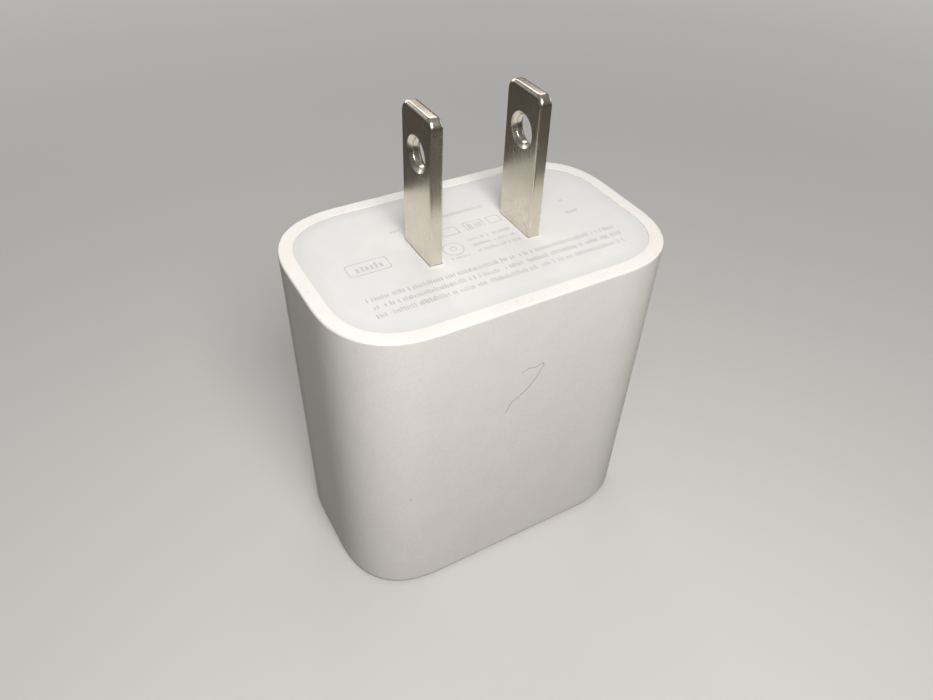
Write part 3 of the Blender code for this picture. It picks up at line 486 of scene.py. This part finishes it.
class Shader:
    """A Principled material and short ways to add nodes to it."""

    def __init__(self, name, colour, roughness, metallic=0.0, **constants):
        self.material = bpy.data.materials.new(name)
        self.material.use_nodes = True
        self.tree = self.material.node_tree
        self.surface = self.tree.nodes["Principled BSDF"]
        self.colour = (*colour, 1.0)
        self.surface.inputs["Base Color"].default_value = self.colour
        self.surface.inputs["Roughness"].default_value = roughness
        self.surface.inputs["Metallic"].default_value = metallic
        for socket, value in constants.items():
            self.surface.inputs[socket.replace("_", " ")].default_value = value
        place = self.node("ShaderNodeTexCoord")
        self.place = place.outputs["Object"]

    def node(self, kind, **settings):
        made = self.tree.nodes.new(kind)
        for key, value in settings.items():
            setattr(made, key, value)
        return made

    def link(self, value, socket):
        if isinstance(value, bpy.types.NodeSocket):
            self.tree.links.new(value, socket)
        else:
            socket.default_value = value

    def maths(self, operation, *values, clamp=False):
        made = self.node("ShaderNodeMath", operation=operation, use_clamp=clamp)
        for value, socket in zip(values, made.inputs):
            self.link(value, socket)
        return made.outputs[0]

    def vector(self, operation, *values):
        made = self.node("ShaderNodeVectorMath", operation=operation)
        for value, socket in zip(values, made.inputs):
            self.link(value, socket)
        return made.outputs[0]

    def stretched(self, scale):
        return self.vector("MULTIPLY", self.place, scale)

    def noise(self, scale, detail=3.0, roughness=0.55, vector=None):
        made = self.node("ShaderNodeTexNoise")
        made.inputs["Scale"].default_value = scale
        made.inputs["Detail"].default_value = detail
        made.inputs["Roughness"].default_value = roughness
        self.link(self.place if vector is None else vector, made.inputs["Vector"])
        return made.outputs["Fac"]

    def ramp(self, value, low, high, to_low=0.0, to_high=1.0):
        made = self.node("ShaderNodeMapRange")
        for socket, number in zip(made.inputs, (value, low, high, to_low, to_high)):
            self.link(number, socket)
        return made.outputs["Result"]

    def mix(self, share, first, second):
        made = self.node("ShaderNodeMix", data_type="RGBA")
        self.link(share, made.inputs["Factor"])
        sockets = [socket for socket in made.inputs if socket.type == "RGBA"]
        for colour, socket in zip((first, second), sockets):
            if not isinstance(colour, bpy.types.NodeSocket):
                colour = (*colour, 1.0)
            self.link(colour, socket)
        return [socket for socket in made.outputs if socket.type == "RGBA"][0]

    def set_colour(self, value):
        self.link(value, self.surface.inputs["Base Color"])

    def set_roughness(self, value):
        self.link(value, self.surface.inputs["Roughness"])

    def bump(self, height, distance, strength=1.0):
        made = self.node("ShaderNodeBump")
        made.inputs["Strength"].default_value = strength
        made.inputs["Distance"].default_value = distance
        self.link(height, made.inputs["Height"])
        existing = self.surface.inputs["Normal"].links
        if existing:
            self.tree.links.new(existing[0].from_socket, made.inputs["Normal"])
        self.tree.links.new(made.outputs["Normal"], self.surface.inputs["Normal"])

    def distance_mm(self, centre):
        """Distance in millimetres from the surface point to a fixed place."""
        scaled = self.vector("MULTIPLY", self.place, (1000.0, 1000.0, 1000.0))
        away = self.node("ShaderNodeVectorMath", operation="DISTANCE")
        self.link(scaled, away.inputs[0])
        self.link(centre, away.inputs[1])
        return away.outputs["Value"]

    def axes_mm(self):
        """The surface point's coordinates in millimetres, as three sockets."""
        scaled = self.vector("MULTIPLY", self.place, (1000.0, 1000.0, 1000.0))
        parts = self.node("ShaderNodeSeparateXYZ")
        self.link(scaled, parts.inputs[0])
        return parts.outputs[0], parts.outputs[1], parts.outputs[2]


def near(shader, value, centre, half):
    """1 where value is within half of centre, else 0."""
    away = shader.maths("ABSOLUTE", shader.maths("SUBTRACT", value, centre))
    return shader.maths("LESS_THAN", away, half)


def both(shader, *masks):
    result = masks[0]
    for mask in masks[1:]:
        result = shader.maths("MULTIPLY", result, mask)
    return result


def either(shader, *masks):
    result = masks[0]
    for mask in masks[1:]:
        result = shader.maths("MAXIMUM", result, mask)
    return result


def segment_distance(shader, point, start, end):
    """Distance in millimetres from a point to a segment, both flat in X and Z."""
    a = Vector((start[0], 0.0, start[1]))
    run = Vector((end[0], 0.0, end[1])) - a
    away = shader.vector("SUBTRACT", point, tuple(a))
    dot = shader.node("ShaderNodeVectorMath", operation="DOT_PRODUCT")
    shader.link(away, dot.inputs[0])
    shader.link(tuple(run), dot.inputs[1])
    share = shader.maths("DIVIDE", dot.outputs["Value"], run.length_squared, clamp=True)
    along = shader.node("ShaderNodeVectorMath", operation="SCALE")
    shader.link(tuple(run), along.inputs[0])
    shader.link(share, along.inputs["Scale"])
    rest = shader.vector("SUBTRACT", away, along.outputs[0])
    length = shader.node("ShaderNodeVectorMath", operation="LENGTH")
    shader.link(rest, length.inputs[0])
    return length.outputs["Value"]


def print_rows(shader, x, y, span, top, rows, row_pitch, stroke_pitch, height, seed):
    """Rows of upright strokes of random height, standing in for fine print. All in millimetres."""
    left, right = span
    inside_x = near(shader, x, (left + right) / 2, (right - left) / 2)
    down = shader.maths("DIVIDE", shader.maths("SUBTRACT", top, y), row_pitch)
    row = shader.maths("ROUND", down)
    inside_rows = near(shader, row, (rows - 1) / 2, rows / 2 - 0.25)
    below = shader.maths("MULTIPLY", shader.maths("SUBTRACT", down, row), row_pitch)
    cells = shader.maths("DIVIDE", shader.maths("SUBTRACT", x, left), stroke_pitch)
    cell = shader.maths("FLOOR", cells)
    across = shader.maths("FRACT", cells)
    key = shader.maths("MULTIPLY_ADD", row, 57.0, shader.maths("ADD", cell, seed))
    white = shader.node("ShaderNodeTexWhiteNoise", noise_dimensions="1D")
    shader.link(key, white.inputs["W"])
    parts = shader.node("ShaderNodeSeparateColor")
    shader.tree.links.new(white.outputs["Color"], parts.inputs[0])
    first, second = parts.outputs[:2]
    written = shader.maths("GREATER_THAN", white.outputs["Value"], 0.14)
    stroke = near(shader, across, shader.ramp(first, 0.0, 1.0, 0.38, 0.62), 0.3)
    low = shader.maths("LESS_THAN", below, height / 2)
    reach = shader.ramp(second, 0.0, 1.0, 0.6 * height, height)
    high = shader.maths("GREATER_THAN", below, shader.maths("SUBTRACT", height / 2, reach))
    return both(shader, inside_x, inside_rows, low, high, written, stroke)


def box_distance(shader, x, y, centre, size, corner):
    """Signed distance in millimetres to a rounded box: negative inside."""
    over = []
    for value, middle, side in zip((x, y), centre, size):
        away = shader.maths("ABSOLUTE", shader.maths("SUBTRACT", value, middle))
        over.append(shader.maths("SUBTRACT", away, side / 2 - corner))
    outside = [shader.maths("MAXIMUM", value, 0.0) for value in over]
    squares = [shader.maths("MULTIPLY", value, value) for value in outside]
    beyond = shader.maths("SQRT", shader.maths("ADD", *squares))
    within = shader.maths("MINIMUM", shader.maths("MAXIMUM", *over), 0.0)
    return shader.maths("SUBTRACT", shader.maths("ADD", beyond, within), corner)


def box_line(shader, x, y, centre, size, corner, line):
    return near(shader, box_distance(shader, x, y, centre, size, corner), -line / 2, line / 2)


def ring_line(shader, x, y, centre, radius, line):
    across = shader.maths("POWER", shader.maths("SUBTRACT", x, centre[0]), 2.0)
    up = shader.maths("POWER", shader.maths("SUBTRACT", y, centre[1]), 2.0)
    distance = shader.maths("SQRT", shader.maths("ADD", across, up))
    return near(shader, distance, radius, line / 2)


# ---------------------------------------------------------------- materials that show

# The front side is the casing in front of this.
FRONT_Y_MM = -12.0

# A hairline scratch on the front side, in X and Z millimetres.
SCRATCH_MM = (
    (-2.93, 26.5),
    (-2.2, 27.9),
    (-1.46, 28.2),
    (-0.5, 28.9),
    (0.4, 29.8),
    (1.13, 30.9),
    (1.71, 32.1),
    (1.46, 32.4),
    (0.66, 32.1),
    (-0.37, 32.3),
    (-1.27, 32.0),
)

# Small marks of use on the casing: centre and radius in millimetres, and the mark's colour.
SCUFF = (0.72, 0.71, 0.68)
FLECK = (0.45, 0.42, 0.38)
RIM_Z_MM = BODY_HEIGHT / MM
MARKS_MM = (
    ((-2.07, -12.27, RIM_Z_MM), 0.16, SCUFF),
    ((3.75, -12.95, RIM_Z_MM), 0.10, SCUFF),
    ((-20.49, -1.03, RIM_Z_MM), 0.12, SCUFF),
    ((-1.96, -13.25, 24.3), 0.07, SCUFF),
    ((-14.91, -12.70, 17.2), 0.09, FLECK),
)


def white_casing():
    """Satin white polycarbonate: faint mottling, a very fine grain, one scratch and small marks."""
    shader = Shader(
        "white_casing",
        (0.83, 0.81, 0.78),
        0.36,
        Subsurface_Weight=0.1,
        Subsurface_Radius=(1.0, 0.8, 0.6),
        Subsurface_Scale=0.0012,
        Specular_IOR_Level=0.5,
        IOR=1.58,
    )
    clouds = shader.noise(260.0, 4.0)
    grain = shader.noise(3000.0, 2.0)
    tone = shader.maths("MULTIPLY_ADD", grain, 0.6, shader.maths("MULTIPLY", clouds, 0.4))
    colour = shader.mix(shader.ramp(tone, 0.36, 0.64), (0.812, 0.799, 0.765), (0.858, 0.849, 0.82))
    point = shader.vector("MULTIPLY", shader.place, (1000.0, 0.0, 1000.0))
    distance = None
    for start, end in zip(SCRATCH_MM, SCRATCH_MM[1:]):
        piece = segment_distance(shader, point, start, end)
        distance = piece if distance is None else shader.maths("MINIMUM", distance, piece)
    y = shader.axes_mm()[1]
    front = shader.maths("LESS_THAN", y, FRONT_Y_MM)
    scratch = both(shader, front, shader.ramp(distance, 0.03, 0.09, 1.0, 0.0))
    colour = shader.mix(shader.maths("MULTIPLY", scratch, 0.7), colour, (0.36, 0.34, 0.32))
    ragged = shader.maths("MULTIPLY_ADD", shader.noise(5000.0, 2.0), 0.24, -0.12)
    for centre, radius, mark_colour in MARKS_MM:
        away = shader.maths("ADD", shader.distance_mm(centre), ragged)
        mark = shader.ramp(away, radius, radius + 0.05, 0.7, 0.0)
        colour = shader.mix(mark, colour, mark_colour)
    shader.set_colour(colour)
    rub = shader.noise(420.0, 5.0, 0.65)
    shader.set_roughness(shader.maths("MULTIPLY_ADD", rub, 0.14, 0.31))
    shader.bump(grain, 2.8e-5, 0.6)
    shader.bump(shader.maths("SUBTRACT", 1.0, scratch), 3e-5, 0.6)
    return shader.material


# The end plate's marking, in X and Y millimetres. It stands in for print and says nothing.
# Rows of strokes: span in X, top in Y, rows, row pitch, stroke pitch, height and random seed.
PRINT_ROWS_MM = (
    ((-15.9, 15.9), -5.05, 3, 1.4, 0.3, 0.78, 3.0),
    ((-0.9, 4.7), 0.15, 3, 1.2, 0.27, 0.6, 211.0),
    ((-1.1, 4.4), 5.95, 1, 1.2, 0.3, 0.7, 77.0),
    ((-4.4, -2.0), -2.45, 1, 1.2, 0.3, 0.5, 19.0),
    ((-14.7, -11.4), 0.4, 1, 2.0, 0.55, 1.1, 5.0),
    ((12.6, 14.4), 0.05, 1, 1.2, 0.3, 0.6, 43.0),
    ((13.4, 14.3), 2.7, 1, 1.2, 0.3, 0.6, 61.0),
    ((-8.1, -6.9), 5.55, 1, 1.2, 0.3, 0.6, 89.0),
    ((0.5, 2.3), 2.7, 1, 2.0, 0.3, 1.2, 31.0),
)
# Rounded boxes: centre, size and corner radius.
PRINT_BOXES_MM = (
    ((-13.1, 0.4), (5.0, 2.35), 0.5),
    ((-1.9, 2.6), (2.2, 1.6), 0.15),
    ((1.4, 2.7), (2.5, 1.6), 0.1),
    ((4.1, 2.7), (1.7, 1.5), 0.1),
)
# Rings: radii round one centre.
PRINT_RING_CENTRE_MM = (-3.2, -0.75)
PRINT_RING_RADII_MM = (1.2, 0.35)
PRINT_LINE_MM = 0.13


def matte_plate():
    """Matte end plate in a cooler white, with pale grey marking that can't be read, and painted
    shade in a band along the rim.
    """
    shader = Shader(
        "matte_plate",
        (0.74, 0.745, 0.74),
        0.55,
        Subsurface_Weight=0.06,
        Subsurface_Radius=(1.0, 0.85, 0.7),
        Subsurface_Scale=0.0008,
    )
    clouds = shader.noise(300.0, 4.0)
    plain = shader.mix(shader.ramp(clouds, 0.3, 0.7), (0.715, 0.722, 0.722), (0.752, 0.758, 0.756))
    x, y = shader.axes_mm()[:2]
    plate_size = [(side - 2 * RIM_WIDTH) / MM for side in (BODY_WIDTH, BODY_DEPTH)]
    # Painted shade: the plate is coloured darker in a band along the inside of the rim, where the
    # rim meets it.
    from_rim = box_distance(shader, x, y, (0.0, 0.0), plate_size, 7.4)
    painted_rim_shade = shader.ramp(from_rim, -1.7, -0.2, 0.0, 0.6)
    plain = shader.mix(painted_rim_shade, plain, (0.655, 0.658, 0.655))
    masks = [print_rows(shader, x, y, *row) for row in PRINT_ROWS_MM]
    masks += [box_line(shader, x, y, *box, PRINT_LINE_MM) for box in PRINT_BOXES_MM]
    for radius in PRINT_RING_RADII_MM:
        masks.append(ring_line(shader, x, y, PRINT_RING_CENTRE_MM, radius, PRINT_LINE_MM))
    marks = either(shader, *masks)
    wear = shader.ramp(shader.noise(900.0, 3.0), 0.35, 0.6, 0.45, 0.8)
    shader.set_colour(shader.mix(shader.maths("MULTIPLY", marks, wear), plain, (0.44, 0.45, 0.46)))
    shader.set_roughness(shader.ramp(shader.noise(700.0, 4.0), 0.3, 0.7, 0.5, 0.62))
    shader.bump(shader.noise(7000.0, 2.0), 5e-6, 0.5)
    return shader.material


def nickel():
    """Nickel-plated blade: gloss streaked along its length, and a faint mottling in tone."""
    shader = Shader("nickel_plate", (0.76, 0.71, 0.61), 0.28, 1.0)
    streaks = shader.noise(1.0, 4.0, 0.6, shader.stretched((5000.0, 5000.0, 260.0)))
    mottle = shader.noise(2600.0, 3.0, 0.6)
    clouds = shader.noise(420.0, 3.0)
    tone = shader.maths("MULTIPLY_ADD", mottle, 0.5, shader.maths("MULTIPLY", clouds, 0.5))
    grain = shader.noise(9000.0, 1.0)
    tone = shader.maths("MULTIPLY_ADD", grain, 0.35, shader.maths("MULTIPLY", tone, 0.65))
    shader.set_colour(
        shader.mix(shader.ramp(tone, 0.36, 0.64), (0.68, 0.63, 0.525), (0.82, 0.775, 0.68))
    )
    rough = shader.maths("MULTIPLY_ADD", streaks, 0.07, shader.maths("MULTIPLY", clouds, 0.07))
    shader.set_roughness(shader.maths("ADD", rough, 0.19))
    z = shader.axes_mm()[2]
    tip = BLADE_TIP_Z / MM
    below_tip = shader.ramp(z, tip - 0.3, tip - 0.05, 1.0, 0.1)
    shader.bump(shader.maths("MULTIPLY", mottle, below_tip), 3e-6, 0.35)
    return shader.material


def drawn_steel():
    """Stainless receptacle shell, drawn along Z."""
    shader = Shader("drawn_steel", (0.60, 0.60, 0.61), 0.25, 1.0)
    streaks = shader.noise(1.0, 4.0, 0.6, shader.stretched((4200.0, 4200.0, 240.0)))
    shader.set_colour(shader.mix(streaks, (0.56, 0.56, 0.57), (0.66, 0.66, 0.67)))
    shader.set_roughness(shader.ramp(streaks, 0.2, 0.8, 0.18, 0.36))
    shader.bump(streaks, 2e-6, 0.4)
    return shader.material


# ---------------------------------------------------------------- materials inside


def mottled(name, light, dark, roughness, metallic=0.0, scale=900.0, grain=5e-6, **constants):
    """A plain material with two tones, uneven gloss and a fine grain."""
    shader = Shader(name, light, roughness, metallic, **constants)
    clouds = shader.noise(scale, 5.0, 0.6)
    shader.set_colour(shader.mix(shader.ramp(clouds, 0.3, 0.7), dark, light))
    shader.set_roughness(shader.ramp(clouds, 0.3, 0.7, roughness - 0.06, roughness + 0.06))
    shader.bump(shader.noise(scale * 5, 3.0), grain, 0.6)
    return shader.material


def streaked(name, light, dark, roughness, metallic, stretch, grain=5e-6):
    """Rolled or drawn material: streaks along the axis with the smallest stretch."""
    shader = Shader(name, light, roughness, metallic)
    streaks = shader.noise(1.0, 4.0, 0.6, shader.stretched(stretch))
    shader.set_colour(shader.mix(shader.ramp(streaks, 0.3, 0.7), dark, light))
    shader.set_roughness(shader.ramp(streaks, 0.3, 0.7, roughness - 0.08, roughness + 0.08))
    shader.bump(streaks, grain, 0.6)
    return shader.material


def wound(name, light, dark, roughness, metallic, pitch_mm, grain):
    """Turns of wire or tape that lie side by side along Y."""
    shader = Shader(name, light, roughness, metallic)
    y = shader.axes_mm()[1]
    wave = shader.maths("SINE", shader.maths("MULTIPLY", y, 2 * math.pi / pitch_mm))
    clouds = shader.noise(800.0, 3.0)
    tone = shader.maths("MULTIPLY_ADD", wave, 0.3, clouds)
    shader.set_colour(shader.mix(shader.ramp(tone, 0.0, 1.0), dark, light))
    shader.set_roughness(shader.ramp(clouds, 0.3, 0.7, roughness - 0.08, roughness + 0.08))
    shader.bump(wave, grain, 0.8)
    return shader.material


def laminate():
    """Green solder mask over copper tracks and a glass weave."""
    shader = Shader("green_laminate", (0.03, 0.17, 0.08), 0.35, 0.0, Coat_Weight=0.3)
    cells = shader.node("ShaderNodeTexVoronoi", distance="CHEBYCHEV")
    cells.inputs["Scale"].default_value = 420.0
    shader.link(shader.place, cells.inputs["Vector"])
    tracks = shader.maths("GREATER_THAN", cells.outputs["Distance"], 0.3)
    weave = shader.noise(3000.0, 2.0)
    base = shader.mix(weave, (0.022, 0.13, 0.06), (0.035, 0.18, 0.085))
    shader.set_colour(shader.mix(shader.maths("MULTIPLY", tracks, 0.5), base, (0.07, 0.26, 0.12)))
    shader.set_roughness(shader.ramp(weave, 0.3, 0.7, 0.28, 0.42))
    shader.bump(tracks, 3e-5, 0.7)
    return shader.material


# Scales of a streaked material's noise along X, Y and Z: streaks run along the smallest.
SPRING_STREAKS = (300.0, 300.0, 6000.0)
SHEET_STREAKS = (240.0, 4000.0, 4000.0)
CAN_STREAKS = (4000.0, 4000.0, 240.0)
BAR_STREAKS = (4000.0, 300.0, 300.0)
CONTACT_STREAKS = (4000.0, 4000.0, 300.0)


def make_inside_materials():
    """A finished material for each CAD node that keeps its shape."""
    ivory = mottled("ivory_nylon", (0.74, 0.71, 0.62), (0.68, 0.64, 0.55), 0.5)
    bronze = streaked(
        "phosphor_bronze", (0.75, 0.50, 0.32), (0.58, 0.36, 0.22), 0.33, 1.0, SPRING_STREAKS
    )
    board = laminate()
    epoxy = mottled("black_epoxy", (0.035, 0.035, 0.036), (0.015, 0.015, 0.016), 0.5)
    phenolic = mottled("brown_phenolic", (0.17, 0.085, 0.05), (0.10, 0.05, 0.03), 0.48)
    blue = mottled(
        "blue_epoxy", (0.04, 0.15, 0.48), (0.02, 0.09, 0.34), 0.32, scale=500.0, grain=3e-5
    )
    yellow = mottled("yellow_polyester", (0.78, 0.58, 0.12), (0.68, 0.48, 0.08), 0.38)
    sleeve = mottled("capacitor_sleeve", (0.05, 0.05, 0.075), (0.03, 0.03, 0.05), 0.28)
    rubber = mottled("black_rubber", (0.04, 0.04, 0.04), (0.02, 0.02, 0.02), 0.78)
    ferrite = mottled("ferrite", (0.12, 0.12, 0.13), (0.06, 0.06, 0.065), 0.55, grain=2e-5)
    aluminium = streaked(
        "rolled_aluminium", (0.82, 0.82, 0.83), (0.66, 0.66, 0.68), 0.3, 1.0, SHEET_STREAKS
    )
    can = streaked(
        "drawn_aluminium", (0.80, 0.80, 0.81), (0.66, 0.66, 0.67), 0.26, 1.0, CAN_STREAKS
    )
    copper = streaked(
        "copper_bar", (0.85, 0.45, 0.28), (0.66, 0.31, 0.18), 0.3, 1.0, BAR_STREAKS
    )
    wire = wound("copper_turns", (0.72, 0.33, 0.16), (0.42, 0.16, 0.07), 0.3, 0.8, 0.35, 8e-5)
    tape = wound("yellow_tape", (0.82, 0.65, 0.14), (0.70, 0.52, 0.08), 0.35, 0.0, 1.6, 3e-5)
    former = mottled("black_phenolic", (0.05, 0.045, 0.04), (0.03, 0.026, 0.022), 0.5)
    steel = drawn_steel()
    tongue = mottled("white_lcp", (0.66, 0.66, 0.64), (0.60, 0.60, 0.58), 0.48)
    gold = streaked(
        "gold_plating", (0.88, 0.66, 0.28), (0.74, 0.52, 0.20), 0.24, 1.0, CONTACT_STREAKS
    )
    silicone = mottled("grey_silicone", (0.38, 0.41, 0.46), (0.30, 0.33, 0.37), 0.7, grain=2e-5)
    film = mottled("polyester_film", (0.66, 0.67, 0.64), (0.58, 0.60, 0.57), 0.28)
    chip = mottled("ceramic_chip", (0.50, 0.37, 0.25), (0.38, 0.27, 0.17), 0.5)
    return {
        "blade_carrier": ivory,
        "left_contact_spring": bronze,
        "right_contact_spring": bronze,
        "main_board": board,
        "port_board": board,
        "return_link": copper,
        "supply_link": copper,
        "input_fuse": phenolic,
        "surge_varistor": blue,
        "y_capacitor": blue,
        "x_capacitor": yellow,
        "choke_core": ferrite,
        "choke_winding": wire,
        "bridge_rectifier": epoxy,
        "bulk_capacitor_1": sleeve,
        "bulk_capacitor_2": sleeve,
        "bulk_capacitor_1_bung": rubber,
        "bulk_capacitor_2_bung": rubber,
        "primary_controller": epoxy,
        "startup_resistor": epoxy,
        "clamp_diode": epoxy,
        "transformer_core_lower": ferrite,
        "transformer_core_upper": ferrite,
        "transformer_bobbin": former,
        "transformer_winding": tape,
        "transformer_thermal_pad": silicone,
        "heat_spreader": aluminium,
        "rectifier_mosfet": epoxy,
        "optocoupler": epoxy,
        "output_capacitor_1": can,
        "output_capacitor_2": can,
        "port_controller": epoxy,
        "power_switch": epoxy,
        "sense_resistor": epoxy,
        "ceramic_capacitor_1": chip,
        "ceramic_capacitor_2": chip,
        "insulation_sheet": film,
        "usb_c_insulator": tongue,
        "usb_c_mid_plate": steel,
        "usb_c_contacts_front": gold,
        "usb_c_contacts_back": gold,
    }


def repaint(node, material):
    """Gives a CAD node that keeps its shape a finished material."""
    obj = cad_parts[node]
    for slot in obj.material_slots:
        slot.material = material
    if not obj.material_slots:
        obj.data.materials.append(material)


# ---------------------------------------------------------------- floor, light and camera

ROOM_COLOUR = (0.95, 0.97, 1.0)
ROOM_STRENGTH = 0.12
BACKDROP_COLOUR = (1.0, 0.99, 0.97)
BACKDROP_STRENGTH = 0.50
FLOOR_HALF = 6.0
FLOOR_DROP = 0.02 * MM
# Distances from the charger over which the floor fades into the backdrop.
FADE_START_MM = 60.0
FADE_END_MM = 320.0
LIGHT_AIM = (0.0, 0.0, 0.03)

# Each light's place, size, power in watts and colour.
LIGHTS = {
    "key_light": ((-0.034, -0.107, 0.160), (0.08, 0.08), 0.305, (1.0, 0.97, 0.93)),
    "top_light": ((-0.02, -0.06, 0.60), (0.80, 0.60), 0.20, (1.0, 0.98, 0.95)),
    "back_light": ((0.31, 0.52, 0.55), (0.40, 0.30), 0.82, (1.0, 0.91, 0.90)),
    "left_card": ((-0.53, 0.52, 0.36), (0.50, 0.40), 0.13, (1.0, 0.93, 0.92)),
    "rear_fill": ((0.0, 0.75, 0.24), (0.60, 0.40), 1.6, (1.0, 0.97, 0.95)),
    "right_fill": ((0.62, 0.05, 0.16), (0.40, 0.30), 0.5, (1.0, 0.98, 0.95)),
}


def make_floor():
    """A wide floor that looks pale to the camera and fades into the backdrop.

    To bounced light and reflections it is darker, as the table in the photograph is.
    """
    half = FLOOR_HALF
    corners = [(-half, -half, 0.0), (half, -half, 0.0), (half, half, 0.0), (-half, half, 0.0)]
    mesh = bpy.data.meshes.new("floor")
    mesh.from_pydata(corners, [], [(0, 1, 2, 3)])
    shader = Shader("pale_floor", (0.62, 0.615, 0.60), 0.7, Specular_IOR_Level=0.1)
    rays = shader.node("ShaderNodeLightPath").outputs
    seen = rays["Is Camera Ray"]
    clouds = shader.noise(14.0, 4.0)
    pale = shader.mix(clouds, (0.61, 0.605, 0.595), (0.64, 0.635, 0.625))
    unseen = shader.mix(rays["Is Glossy Ray"], (0.26, 0.25, 0.24), (0.12, 0.11, 0.10))
    shader.set_colour(shader.mix(seen, unseen, pale))
    far = shader.ramp(shader.distance_mm((0.0, 0.0, 0.0)), FADE_START_MM, FADE_END_MM)
    fade = shader.node("ShaderNodeMixShader")
    backdrop = shader.node("ShaderNodeEmission")
    backdrop.inputs["Color"].default_value = (*BACKDROP_COLOUR, 1.0)
    backdrop.inputs["Strength"].default_value = BACKDROP_STRENGTH
    shader.link(shader.maths("MULTIPLY", far, seen), fade.inputs[0])
    shader.link(shader.surface.outputs[0], fade.inputs[1])
    shader.link(backdrop.outputs[0], fade.inputs[2])
    shader.link(fade.outputs[0], shader.tree.nodes["Material Output"].inputs["Surface"])
    mesh.materials.append(shader.material)
    floor = bpy.data.objects.new("floor", mesh)
    bpy.context.scene.collection.objects.link(floor)
    floor.location.z = -FLOOR_DROP


def area_light(name, place, size, power, colour):
    data = bpy.data.lights.new(name, "AREA")
    data.shape = "RECTANGLE"
    data.size, data.size_y = size
    data.energy = power
    data.color = colour
    light = bpy.data.objects.new(name, data)
    light.location = place
    towards = Vector(LIGHT_AIM) - Vector(place)
    light.rotation_euler = towards.to_track_quat("-Z", "Y").to_euler()
    light.visible_camera = False
    bpy.context.scene.collection.objects.link(light)


def make_lights():
    for name, settings in LIGHTS.items():
        area_light(name, *settings)


def make_world():
    """Dim even light from all round, in front of a pale backdrop that only the camera sees."""
    world = bpy.data.worlds.new("soft_room")
    bpy.context.scene.world = world
    world.use_nodes = True
    nodes = world.node_tree.nodes
    links = world.node_tree.links
    room = nodes["Background"]
    room.inputs["Color"].default_value = (*ROOM_COLOUR, 1.0)
    room.inputs["Strength"].default_value = ROOM_STRENGTH
    backdrop = nodes.new("ShaderNodeBackground")
    backdrop.inputs["Color"].default_value = (*BACKDROP_COLOUR, 1.0)
    backdrop.inputs["Strength"].default_value = BACKDROP_STRENGTH
    choice = nodes.new("ShaderNodeMixShader")
    links.new(nodes.new("ShaderNodeLightPath").outputs["Is Camera Ray"], choice.inputs[0])
    links.new(room.outputs[0], choice.inputs[1])
    links.new(backdrop.outputs[0], choice.inputs[2])
    links.new(choice.outputs[0], nodes["World Output"].inputs["Surface"])


def make_camera():
    data = bpy.data.cameras.new("photo_camera")
    data.lens = CAMERA_LENS_MM
    data.sensor_width = CAMERA_SENSOR_MM
    data.clip_start = CAMERA_CLIP_START
    camera = bpy.data.objects.new("photo_camera", data)
    around = Matrix.Rotation(CAMERA_AZIMUTH, 4, "Z")
    tilt = Matrix.Rotation(math.pi / 2 - CAMERA_ELEVATION, 4, "X")
    roll = Matrix.Rotation(CAMERA_ROLL, 4, "Z")
    camera.matrix_world = Matrix.Translation(CAMERA_PLACE) @ around @ tilt @ roll
    bpy.context.scene.collection.objects.link(camera)
    bpy.context.scene.camera = camera


# ---------------------------------------------------------------- assembly


def make_scene():
    make_camera()
    casing = white_casing()
    blade_metal = nickel()
    make_outer_shell(casing)
    make_face_plate(matte_plate())
    make_blade("left_blade", -1, blade_metal)
    make_blade("right_blade", 1, blade_metal)
    make_usb_shell(drawn_steel())
    for node, material in make_inside_materials().items():
        repaint(node, material)
    make_floor()
    make_lights()
    make_world()
    bpy.context.scene.view_settings.view_transform = "Standard"


make_scene()
bpy.context.view_layer.update()
